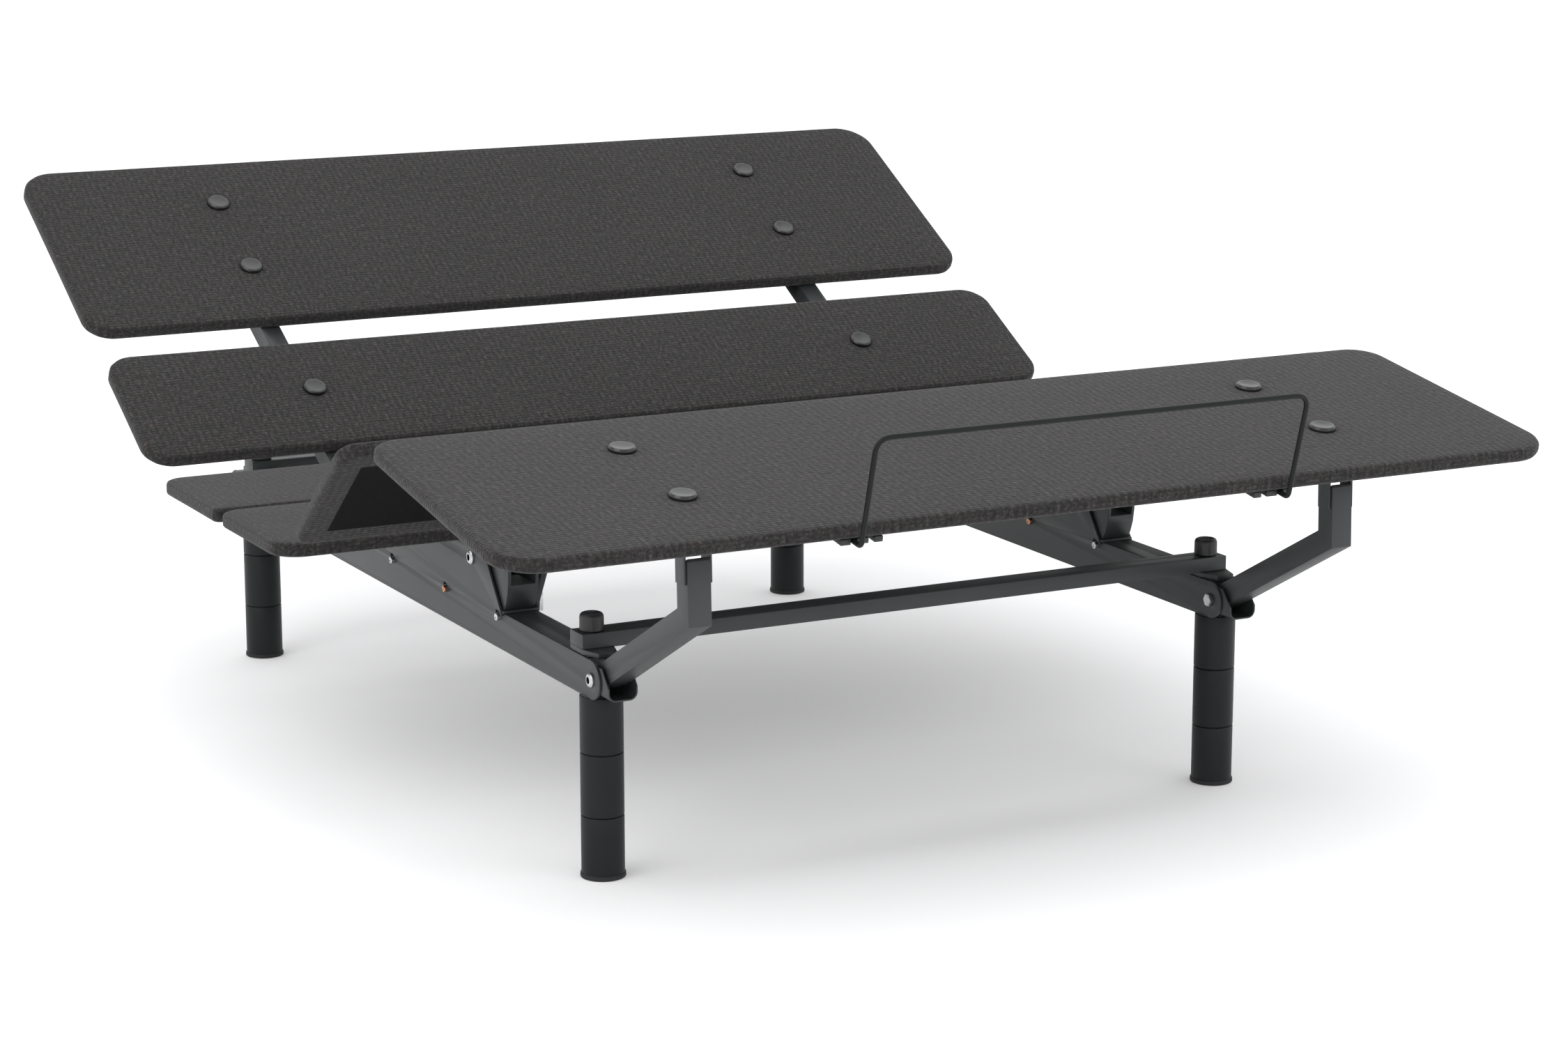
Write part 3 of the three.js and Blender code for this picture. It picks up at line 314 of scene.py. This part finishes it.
FABRIC = woven_fabric()
COVER = dust_cover()
STEEL = powder_coat("frame_powder_coat", (0.019, 0.0215, 0.0225), (0.027, 0.030, 0.031), 0.36, 0.5)
LEG_BLACK = powder_coat(
    "leg_powder_coat", (0.0035, 0.0050, 0.0055), (0.0065, 0.0085, 0.009), 0.36, 0.25
)
ROD_BLACK = powder_coat("retainer_coat", (0.004, 0.005, 0.005), (0.007, 0.008, 0.008), 0.34, 0.2)
ZINC = plated_steel("zinc_plate")
COPPER = plated_steel("copper_plate", (0.62, 0.30, 0.17), 0.34)
CAP_TOP = moulded_plastic("cap_satin_top", (0.008, 0.0085, 0.009), 0.24, 400.0, 0.0001)
# Black of the cap rims; also used as painted shade inside the pivot bolts' recesses.
CAP_SIDE_AND_RECESS_SHADE = moulded_plastic("cap_side_and_recess_shade", (0.006, 0.006, 0.007), 0.22, 500.0, 0.0001)
PLASTIC = moulded_plastic("black_plastic", (0.010, 0.010, 0.011), 0.48)
RUBBER = moulded_plastic("glide_rubber", (0.008, 0.008, 0.009), 0.75, 300.0)


# ---- Mesh helpers --------------------------------------------------------------------------------
def piece_from(mesh, name, node, looks):
    """Turns a mesh into a smooth-shaded piece with the given looks as its materials, on the body of a node."""
    piece = bpy.data.objects.new(name, mesh)
    bpy.context.scene.collection.objects.link(piece)
    for look in looks:
        mesh.materials.append(look)
    mesh.shade_smooth()
    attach(piece, BODY_OF[node])
    return piece


def apply_modifiers(piece):
    """Bakes a piece's modifiers into its mesh."""
    graph = bpy.context.evaluated_depsgraph_get()
    mesh = bpy.data.meshes.new_from_object(piece.evaluated_get(graph))
    piece.modifiers.clear()
    old = piece.data
    piece.data = mesh
    bpy.data.meshes.remove(old)


def corners_of(node):
    """Lowest and highest corners of a node's box."""
    low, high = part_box(node)
    return Vector(low), Vector(high)


def centre_of(node):
    low, high = corners_of(node)
    return (low + high) / 2


def revolve(profile, origin, turn, count):
    """A mesh turned about the local Z axis; profile is (radius, height, slot) from axis to axis."""
    made = bmesh.new()
    rings = []
    for radius, height, _ in profile:
        if radius < 1e-7:
            rings.append([made.verts.new((0, 0, height))])
            continue
        ring = []
        for step in range(count):
            angle = 2 * math.pi * step / count
            spot = (radius * math.cos(angle), radius * math.sin(angle), height)
            ring.append(made.verts.new(spot))
        rings.append(ring)
    for index in range(len(rings) - 1):
        lower, upper = rings[index], rings[index + 1]
        for step in range(count):
            after = (step + 1) % count
            corners = [lower[step % len(lower)], lower[after % len(lower)]]
            corners += [upper[after % len(upper)], upper[step % len(upper)]]
            corners = list(dict.fromkeys(corners))
            face = made.faces.new(corners)
            face.material_index = profile[index + 1][2]
    bmesh.ops.recalc_face_normals(made, faces=made.faces)
    made.transform(Matrix.Translation(origin) @ turn)
    mesh = bpy.data.meshes.new("turned")
    made.to_mesh(mesh)
    made.free()
    return mesh


def sharp_by_angle(piece, degrees=32.0):
    """Keeps the edges sharp whose faces meet at more than the given angle."""
    chosen = [piece]
    context = {
        "object": piece,
        "active_object": piece,
        "selected_objects": chosen,
        "selected_editable_objects": chosen,
    }
    with bpy.context.temp_override(**context):
        bpy.ops.object.shade_smooth_by_angle(angle=math.radians(degrees))


def softened(node, look, width=SOFT_EDGE, splits=(0.0,)):
    """A copy of a node's shape with its edges rounded, standing for the node.

    Seams at the X places in splits keep a ladder-shaped face from closing into a ring around a bay.
    """
    made = bmesh.new()
    made.from_mesh(frame["nodes"][node].data)
    bmesh.ops.remove_doubles(made, verts=made.verts, dist=1e-6)
    for split in splits:
        whole = made.verts[:] + made.edges[:] + made.faces[:]
        divided = bmesh.ops.bisect_plane(
            made, geom=whole, dist=1e-6, plane_co=(split, 0, 0), plane_no=(1, 0, 0)
        )
        for item in divided["geom_cut"]:
            if isinstance(item, bmesh.types.BMEdge):
                item.seam = True
    bmesh.ops.dissolve_limit(
        made,
        angle_limit=math.radians(1.0),
        verts=made.verts,
        edges=made.edges,
        delimit={"SEAM"},
    )
    mesh = bpy.data.meshes.new(node + "_soft")
    made.to_mesh(mesh)
    made.free()
    piece = piece_from(mesh, node + "_finish", node, [look])
    bevel = piece.modifiers.new("edge", "BEVEL")
    bevel.width = width
    bevel.segments = 2
    bevel.limit_method = "ANGLE"
    bevel.angle_limit = math.radians(30)
    bevel.use_clamp_overlap = True
    apply_modifiers(piece)
    sharp_by_angle(piece)
    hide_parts(node)


# ---- Boards --------------------------------------------------------------------------------------
def section_frame(joint_name, tilt):
    """The place and tilt of a section: flat section coordinates into the row frame."""
    hinge = Vector(JOINTS[joint_name]["pos_m"])
    return Matrix.Translation((0, hinge.y, hinge.z)) @ Matrix.Rotation(tilt, 4, "X")


def flat_extent(node, placing):
    """Lowest and highest corners of a node in its section's flat coordinates."""
    back = placing.inverted()
    points = [back @ vertex.co for vertex in frame["nodes"][node].data.vertices]
    low = Vector([min(point[axis] for point in points) for axis in range(3)])
    high = Vector([max(point[axis] for point in points) for axis in range(3)])
    return low, high


def rounded_outline(low, high, start_radius, end_radius, inset):
    """Plan points of a board inset from its rim, anticlockwise: (x, y, outward x, outward y)."""
    corners = (
        (high.x, low.y, start_radius, -90),
        (high.x, high.y, end_radius, 0),
        (low.x, high.y, end_radius, 90),
        (low.x, low.y, start_radius, 180),
    )
    arcs = []
    for corner_x, corner_y, radius, first in corners:
        centre_x = corner_x - math.copysign(radius, corner_x)
        centre_y = corner_y + radius if corner_y == low.y else corner_y - radius
        reach = max(radius - inset, 0.0008)
        pull = max(inset - radius, 0.0)
        centre_x -= math.copysign(pull, corner_x)
        centre_y += pull if corner_y == low.y else -pull
        arc = []
        for step in range(ARC_STEPS + 1):
            angle = math.radians(first + 90.0 * step / ARC_STEPS)
            out = (math.cos(angle), math.sin(angle))
            arc.append((centre_x + reach * out[0], centre_y + reach * out[1], *out))
        arcs.append(arc)
    points = []
    for index, arc in enumerate(arcs):
        points += arc
        start, end = Vector(arc[-1][:2]), Vector(arcs[(index + 1) % 4][0][:2])
        spans = straight_steps(index, low, high, start_radius, end_radius)
        for step in range(1, spans):
            middle = start.lerp(end, step / spans)
            points.append((middle.x, middle.y, *arc[-1][2:]))
    return points


def straight_steps(index, low, high, start_radius, end_radius):
    """How many spans a straight side is cut into, the same for every inset."""
    widths = (
        high.y - low.y - start_radius - end_radius,
        high.x - low.x - 2 * end_radius,
        high.y - low.y - start_radius - end_radius,
        high.x - low.x - 2 * start_radius,
    )
    return max(2, round(widths[index] / SIDE_SPAN))


def board_rings(thickness, wrap_low):
    """Rings from the middle of the underside round the edge to the top: (inset, height, slot)."""
    radius = BOARD_EDGE
    low_radius = radius + wrap_low
    rings = [
        (FOLD_OVER + 0.004, 0.0006, 1),
        (FOLD_OVER, 0.0002, 1),
        (FOLD_OVER - 0.001, 0.0, 0),
        (low_radius + 0.006, 0.0, 0),
    ]
    angles = [math.pi / 2 * step / EDGE_STEPS for step in range(EDGE_STEPS + 1)]
    for angle in angles:
        height = low_radius * (1 - math.cos(angle))
        rings.append((low_radius * (1 - math.sin(angle)), height, 0))
    for angle in angles:
        height = thickness - radius * (1 - math.sin(angle))
        rings.append((radius * (1 - math.cos(angle)), height, 0))
    for inset, lift in ((0.012, 0.25), (0.024, 0.55), (0.04, 0.8), (0.06, 0.95), (0.078, 1.0)):
        rings.append((inset, thickness + CROWN * lift, 0))
    return rings


def wrapped_board(node, section, start_radius, end_radius, wrap_low=0.0):
    """A board in stretched cloth: rounded rim, slight crown, corner gathers, dust cover below."""
    low, high = flat_extent(node, section)
    thickness = high.z - low.z
    made = bmesh.new()
    layers = []
    for inset, height, slot in board_rings(thickness, wrap_low):
        ring = []
        for x, y, out_x, out_y in rounded_outline(low, high, start_radius, end_radius, inset):
            gather = corner_gather(out_x, out_y, height, thickness)
            ripple = 0.00035 * noise.noise(Vector((x * 9, y * 9, height * 60)))
            push = gather - 0.0004 + ripple if 0.0 < height < thickness else 0.0
            lift = ripple if height > thickness else 0.0
            ring.append(made.verts.new((x + push * out_x, y + push * out_y, low.z + height + lift)))
        layers.append((ring, slot))
    bottom = made.faces.new(list(reversed(layers[0][0])))
    bottom.material_index = 1
    for (lower, _), (upper, slot) in zip(layers, layers[1:]):
        count = len(lower)
        for step in range(count):
            after = (step + 1) % count
            face = made.faces.new((lower[step], lower[after], upper[after], upper[step]))
            face.material_index = slot
    made.faces.new(layers[-1][0])
    lay_cloth(made)
    made.transform(section)
    bmesh.ops.recalc_face_normals(made, faces=made.faces)
    mesh = bpy.data.meshes.new(node + "_wrapped")
    made.to_mesh(mesh)
    made.free()
    piece = piece_from(mesh, node + "_wrapped", node, [FABRIC, COVER])
    sharp_by_angle(piece, 50.0)
    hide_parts(node)


def corner_gather(out_x, out_y, height, thickness):
    """Small pleats where the cloth is drawn round a corner."""
    diagonal = 4 * (out_x * out_y) ** 2
    turn = math.atan2(out_y, out_x)
    fold = math.sin(turn * 44) * math.sin(math.pi * height / thickness) ** 0.5
    return 0.00045 * diagonal * fold


def lay_cloth(made):
    """UVs in metres: flat on the top and underside, unrolled round the rim."""
    layer = made.loops.layers.uv.new("cloth")
    made.normal_update()
    for face in made.faces:
        flat = abs(face.normal.z) > 0.6
        across = abs(face.normal.x) > abs(face.normal.y)
        for loop in face.loops:
            point = loop.vert.co
            if flat:
                loop[layer].uv = (point.x, point.y)
            elif across:
                loop[layer].uv = (point.x + point.z, point.y)
            else:
                loop[layer].uv = (point.x, point.y + point.z)


# ---- Fittings ------------------------------------------------------------------------------------
def build_cap(node, section):
    """A cap bolt: a glossy black rim with a satin dished top, its shank and nut below."""
    low, high = flat_extent(node, section)
    radius = (high.x - low.x) / 2
    centre = Vector(((low.x + high.x) / 2, (low.y + high.y) / 2, 0))
    top = high.z
    base = top - CAP_HEIGHT
    profile = [
        (0.0, top - 0.0014, 1),
        (0.35 * radius, top - 0.0013, 1),
        (0.66 * radius, top - 0.0006, 1),
        (0.80 * radius, top - 0.0001, 1),
        (0.88 * radius, top - 0.0003, 1),
        (0.905 * radius, top - 0.0007, 0),
        (0.97 * radius, top - 0.0017, 0),
        (radius, top - 0.0035, 0),
        (radius, base + 0.0012, 0),
        (0.965 * radius, base, 0),
        (0.3 * radius, base, 2),
        (0.3 * radius, low.z + CAP_NUT_HEIGHT, 2),
        (0.5 * radius, low.z + CAP_NUT_HEIGHT, 2),
        (0.5 * radius, low.z + 0.0008, 2),
        (0.45 * radius, low.z, 2),
        (0.0, low.z, 2),
    ]
    mesh = revolve(profile, centre, UPRIGHT, 40)
    mesh.transform(section)
    piece = piece_from(mesh, node + "_finish", node, [CAP_SIDE_AND_RECESS_SHADE, CAP_TOP, ZINC])
    sharp_by_angle(piece, 34.0)
    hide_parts(node)


def build_pivot_bolt(node, sign):
    """A pivot bolt along X: a domed head with a hex recess outside, painted black inside as shade, a shank, a hex
    nut inside.
    """
    low, high = corners_of(node)
    outer, inner = (high.x, low.x) if sign > 0 else (low.x, high.x)
    radius = (high.z - low.z) / 2
    length = abs(outer - inner)
    centre = Vector((inner, (low.y + high.y) / 2, (low.z + high.z) / 2))
    head = 0.004
    profile = [
        (0.0, 0.0, 0),
        (0.68 * radius, 0.0, 0),
        (0.70 * radius, 0.005, 0),
        (SHANK_RADIUS, 0.005, 0),
        (SHANK_RADIUS, length - head, 0),
        (radius, length - head, 0),
        (radius, length - 0.6 * head, 0),
        (0.86 * radius, length - 0.22 * head, 0),
        (0.62 * radius, length - 0.02 * head, 0),
        (0.50 * radius, length - 0.04 * head, 0),
        # The recess's wall and floor take the second slot: black, as painted shade in the socket.
        (0.44 * radius, length - 0.75 * head, 1),
        (0.0, length - 0.75 * head, 1),
    ]
    turn = Matrix.Rotation(math.copysign(math.pi / 2, sign), 4, "Y")
    piece = piece_from(revolve(profile, centre, turn, 40), node + "_finish", node, [ZINC, CAP_SIDE_AND_RECESS_SHADE])
    add_hex_nut(piece, centre, turn, radius)
    sharp_by_angle(piece, 34.0)
    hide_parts(node)


STUD_HEAD = [
    (0.0, -0.004, 0),
    (0.0042, -0.004, 0),
    (0.0046, 0.0, 0),
    (0.0046, 0.0012, 0),
    (0.0038, 0.0019, 0),
    (0.0022, 0.0021, 0),
    (0.0018, 0.0011, 0),
    (0.0, 0.0011, 0),
]


def build_rail_studs(side, sign):
    """Small bolt heads on the rail under the side plate's hook slots, the middle one in copper."""
    low, high = corners_of("side_rail_" + side)
    outer = high.x if sign > 0 else low.x
    inner = low.x if sign > 0 else high.x
    hinge = JOINTS["thigh_lift"]["pos_m"][1]
    for index, place in enumerate(STUDS_FROM_THIGH_HINGE):
        for face, way in ((outer, sign), (inner, -sign)):
            centre = Vector((face, hinge + place, RAIL_HOOK_Z - STUD_DROP))
            turn = Matrix.Rotation(math.copysign(math.pi / 2, way), 4, "Y")
            mesh = revolve(STUD_HEAD, centre, turn, 6 if index == 1 else 28)
            name = f"rail_stud_{side}_{index + 1}_{'outer' if way == sign else 'inner'}"
            piece = piece_from(mesh, name, "side_rail_" + side, [COPPER if index == 1 else ZINC])
            sharp_by_angle(piece, 34.0)


def add_hex_nut(piece, centre, turn, radius):
    """Adds a hex nut with eased edges round a pivot bolt's inner end."""
    made = bmesh.new()
    made.from_mesh(piece.data)
    nut = bmesh.ops.create_cone(
        made,
        cap_ends=True,
        segments=6,
        radius1=radius * 0.98,
        radius2=radius * 0.98,
        depth=0.0046,
        matrix=Matrix.Translation(centre) @ turn @ Matrix.Translation((0, 0, 0.0026)),
    )
    edges = {edge for vertex in nut["verts"] for edge in vertex.link_edges}
    bmesh.ops.bevel(made, geom=list(edges), offset=0.0005, segments=2, affect="EDGES")
    made.to_mesh(piece.data)
    made.free()


def build_leg_section(node, with_glide):
    """A leg section: a coated cylinder with chamfered ends and a screw stud, maybe a glide."""
    low, high = corners_of(node)
    centre = centre_of(node)
    radius = LEG_RADIUS
    hole = STUD_RADIUS + 0.0002
    top = high.z - low.z - STUD_LENGTH
    foot = [
        (0.0, 0.012, 0),
        (hole, 0.012, 0),
        (hole, 0.0, 0),
    ]
    if with_glide:
        foot += [
            (0.020, 0.0, 1),
            (radius + 0.0008, 0.0006, 1),
            (radius + 0.0014, 0.0016, 1),
            (radius + 0.0011, 0.0055, 1),
            (radius, 0.0062, 1),
        ]
    else:
        foot += [(radius - 0.0012, 0.0, 0), (radius - 0.0010, 0.0007, 0), (radius, 0.0014, 0)]
    body = [
        (radius, 0.02, 0),
        (radius, top - 0.02, 0),
        (radius, top - 0.0012, 0),
        (radius - 0.0004, top - 0.0004, 0),
        (radius - 0.0012, top, 0),
        (STUD_RADIUS, top, 2),
        (STUD_RADIUS, top + STUD_LENGTH - STUD_CHAMFER, 2),
        (STUD_RADIUS - STUD_CHAMFER, top + STUD_LENGTH, 2),
        (0.0, top + STUD_LENGTH, 2),
    ]
    mesh = revolve(foot + body, Vector((centre.x, centre.y, low.z)), UPRIGHT, 72)
    piece = piece_from(mesh, node + "_finish", node, [LEG_BLACK, RUBBER, ZINC])
    sharp_by_angle(piece, 34.0)
    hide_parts(node)


def build_knob(node):
    """A hand knob: a ribbed drum with a rolled rim and a dished top on its screw."""
    low, high = corners_of(node)
    centre = centre_of(node)
    radius = (high.x - low.x) / 2
    top = high.z - low.z
    base = top - KNOB_HEIGHT
    profile = [
        (0.0, 0.0, 1),
        (STUD_RADIUS - STUD_CHAMFER, 0.0, 1),
        (STUD_RADIUS, STUD_CHAMFER, 1),
        (STUD_RADIUS, base, 1),
        (radius - 0.0012, base, 0),
        (radius, base + 0.0012, 0),
        (radius, base + 0.008, 0),
        (radius, top - 0.0052, 0),
        (radius - 0.0005, top - 0.0028, 0),
        (radius - 0.0020, top - 0.0008, 0),
        (radius - 0.0036, top, 0),
        (radius - 0.0052, top - 0.0006, 0),
        (radius - 0.0066, top - 0.0014, 0),
        (0.0, top - 0.0016, 0),
    ]
    mesh = revolve(profile, Vector((centre.x, centre.y, low.z)), UPRIGHT, 72)
    for vertex in mesh.vertices:
        height = vertex.co.z - low.z
        away = Vector((vertex.co.x - centre.x, vertex.co.y - centre.y, 0))
        if base + 0.004 < height < top - 0.004 and away.length > 0.99 * radius:
            turn = math.atan2(away.y, away.x)
            vertex.co -= away.normalized() * 0.0003 * (1 + math.cos(24 * turn))
    piece = piece_from(mesh, node + "_finish", node, [PLASTIC, ZINC])
    sharp_by_angle(piece, 38.0)
    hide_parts(node)


def build_retainer(section):
    """The mattress retainer: a round rod in a wide arch, its toes turned in under the board."""
    low, high = flat_extent("retainer_bar", section)
    middle = (low.x + high.x) / 2
    half = (high.x - low.x) / 2 - RETAINER_ROD
    plane, base = RETAINER_PLACE
    corner_z = RETAINER_HEIGHT - RETAINER_CORNER
    toe_x = middle + half

    def leaning(x, up):
        y = plane - up * math.sin(RETAINER_LEAN)
        return Vector((middle + x, y, base + up * math.cos(RETAINER_LEAN)))

    shoulder = leaning(half, RETAINER_HEIGHT)
    crossbar_start = leaning(half - RETAINER_CORNER, RETAINER_HEIGHT)
    side = [Vector((toe_x, high.y, base)), Vector((toe_x, plane + RETAINER_TOE_BEND, base))]
    side += bent(side[-1], leaning(half, 0), leaning(half, RETAINER_TOE_BEND))
    side += [leaning(half, RETAINER_HEIGHT / 2), leaning(half, corner_z)]
    side += bent(side[-1], shoulder, crossbar_start)
    other = [Vector((2 * middle - point.x, point.y, point.z)) for point in reversed(side)]
    mesh = swept_rod(side + [leaning(0, RETAINER_HEIGHT)] + other, RETAINER_ROD, 20)
    mesh.transform(section)
    piece = piece_from(mesh, "retainer_bar_finish", "retainer_bar", [ROD_BLACK])
    sharp_by_angle(piece, 50.0)
    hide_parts("retainer_bar")


def bent(start, corner, end):
    """Points of a smooth bend from start to end, leaving out the start."""
    points = []
    for step in range(1, BEND_STEPS + 1):
        share = step / BEND_STEPS
        points.append(start.lerp(corner, share).lerp(corner.lerp(end, share), share))
    return points


def swept_rod(path, radius, count):
    """A closed round rod through points, each ring square to the way the rod runs."""
    made = bmesh.new()
    side = Vector((0, 0, 1))
    rings = []
    for index, point in enumerate(path):
        before = path[max(index - 1, 0)]
        after = path[min(index + 1, len(path) - 1)]
        along = ((point - before).normalized() + (after - point).normalized()).normalized()
        side = (side - along * side.dot(along)).normalized()
        across = along.cross(side)
        ring = []
        for step in range(count):
            turn = 2 * math.pi * step / count
            outward = math.cos(turn) * side + math.sin(turn) * across
            ring.append(made.verts.new(point + radius * outward))
        rings.append(ring)
    for lower, upper in zip(rings, rings[1:]):
        for step in range(count):
            after = (step + 1) % count
            made.faces.new((lower[step], lower[after], upper[after], upper[step]))
    made.faces.new(list(reversed(rings[0])))
    made.faces.new(rings[-1])
    bmesh.ops.recalc_face_normals(made, faces=made.faces)
    mesh = bpy.data.meshes.new("rod")
    made.to_mesh(mesh)
    made.free()
    return mesh


# ---- Whole object --------------------------------------------------------------------------------
def build_boards():
    """Wraps the six boards and gives back the frames of the head and foot sections."""
    base = Matrix.Identity(4)
    head = section_frame("head_lift", HEAD_TILT)
    thigh = section_frame("thigh_lift", THIGH_TILT)
    foot = section_frame("knee_fold", FOOT_TILT)
    wrapped_board("head_panel_upper", head, 0.040, 0.050)
    wrapped_board("head_panel_lower", head, 0.040, 0.040)
    wrapped_board("seat_panel_rear", base, 0.012, 0.030)
    wrapped_board("seat_panel_front", base, 0.040, 0.030)
    wrapped_board("thigh_panel", thigh, 0.024, 0.018)
    wrapped_board("foot_panel", foot, 0.055, 0.040, wrap_low=0.0025)
    return head, foot


def build_arm_plug(side):
    """The rubber plug in a foot arm's open top: a thin dome over the tube's sloping cut."""
    node = f"foot_arm_{side}"
    middle = centre_of(node).x
    hinge = Vector(JOINTS["foot_arm_swing"]["pos_m"])
    front = Vector((middle, hinge.y + ARM_CUT_FRONT[0], hinge.z + ARM_CUT_FRONT[1]))
    rear = Vector((middle, hinge.y + ARM_CUT_REAR[0], hinge.z + ARM_CUT_REAR[1]))
    slope = math.atan2(rear.z - front.z, rear.y - front.y)
    made = bmesh.new()
    bmesh.ops.create_cube(made, size=1.0)
    size = (ARM_PLUG_WIDTH, (rear - front).length, ARM_PLUG_RISE)
    bmesh.ops.scale(made, vec=size, verts=made.verts)
    placing = Matrix.Translation((front + rear) / 2) @ Matrix.Rotation(slope, 4, "X")
    placing = placing @ Matrix.Translation((0, 0, ARM_PLUG_RISE / 2))
    bmesh.ops.transform(made, matrix=placing, verts=made.verts)
    mesh = bpy.data.meshes.new(node + "_plug")
    made.to_mesh(mesh)
    made.free()
    piece = piece_from(mesh, node + "_plug", node, [RUBBER])
    dome = piece.modifiers.new("dome", "BEVEL")
    dome.width = 0.4 * ARM_PLUG_RISE
    dome.segments = 3
    apply_modifiers(piece)


def build_fittings(head, foot):
    """Caps, bolts, studs, plugs, knobs and legs on both sides, and the mattress retainer."""
    for side, sign in (("left", -1), ("right", 1)):
        for row in (1, 2, 3):
            build_cap(f"head_cap_bolt_{side}_{row}", head)
        for row in (1, 2):
            build_cap(f"foot_cap_bolt_{side}_{row}", foot)
        for place in ("arm", "thigh", "head"):
            build_pivot_bolt(f"{place}_pivot_bolt_{side}", sign)
        build_rail_studs(side, sign)
        build_arm_plug(side)
        for end in ("front", "rear"):
            build_knob(f"crossbar_knob_{end}_{side}")
            for level in ("bottom", "middle", "top"):
                build_leg_section(f"leg_{end}_{side}_{level}", level == "bottom")
    build_retainer(foot)


def build_steel():
    """The steel frames, rails and brackets, and the plain plastic and zinc pieces."""
    names = ["seat_frame", "head_frame", "thigh_frame", "foot_frame"]
    names += ["foot_crossbar", "head_crossbar"]
    for side in ("left", "right"):
        names += [f"side_rail_{side}", f"foot_arm_{side}"]
        names += [f"leg_bracket_front_{side}", f"leg_bracket_rear_{side}"]
    for name in names:
        inner = LADDER_INNER_X.get(name)
        softened(name, STEEL, splits=(-inner, 0.0, inner) if inner else (0.0,))
    for name in ("retainer_clip_left", "retainer_clip_right"):
        softened(name, PLASTIC, CLIP_EDGE)
    for name in ("head_motor", "foot_motor", "control_box"):
        softened(name, PLASTIC, CASE_EDGE)
    for name in ("head_motor_rod", "foot_motor_rod"):
        softened(name, ZINC)


def build_studio():
    """White floor and surroundings, with one soft key light, a weak fill and a top light."""
    made = bmesh.new()
    bmesh.ops.create_grid(made, x_segments=2, y_segments=2, size=FLOOR_SIZE)
    mesh = bpy.data.meshes.new("floor")
    made.to_mesh(mesh)
    made.free()
    mesh.materials.append(studio_floor())
    floor = bpy.data.objects.new("floor", mesh)
    bpy.context.scene.collection.objects.link(floor)

    world = bpy.data.worlds.new("studio")
    world.use_nodes = True
    background = world.node_tree.nodes["Background"]
    background.inputs["Color"].default_value = (0.985, 0.99, 1.0, 1.0)
    background.inputs["Strength"].default_value = SKY_STRENGTH
    bpy.context.scene.world = world

    for name, (place, aim, size, power) in LIGHTS.items():
        area_light(name, place, aim, size, power)
    bpy.context.scene.view_settings.view_transform = "Standard"


def area_light(name, place, aim, size, power):
    light = bpy.data.lights.new(name, "AREA")
    light.energy = power
    light.size = size
    holder = bpy.data.objects.new(name, light)
    holder.location = place
    holder.rotation_euler = (Vector(aim) - Vector(place)).to_track_quat("-Z", "Y").to_euler()
    bpy.context.scene.collection.objects.link(holder)


def build_camera():
    """The photo's viewing angle, with a long lens."""
    lens = bpy.data.cameras.new("camera")
    lens.lens = CAMERA_LENS
    lens.sensor_width = 36.0
    lens.clip_end = 100.0
    holder = bpy.data.objects.new("camera", lens)
    holder.location = CAMERA_PLACE
    holder.rotation_euler = (math.radians(90 - CAMERA_DOWN), 0.0, math.radians(-CAMERA_ROUND))
    bpy.context.scene.collection.objects.link(holder)
    bpy.context.scene.camera = holder


build_camera()
build_studio()
head_section, foot_section = build_boards()
build_fittings(head_section, foot_section)
build_steel()
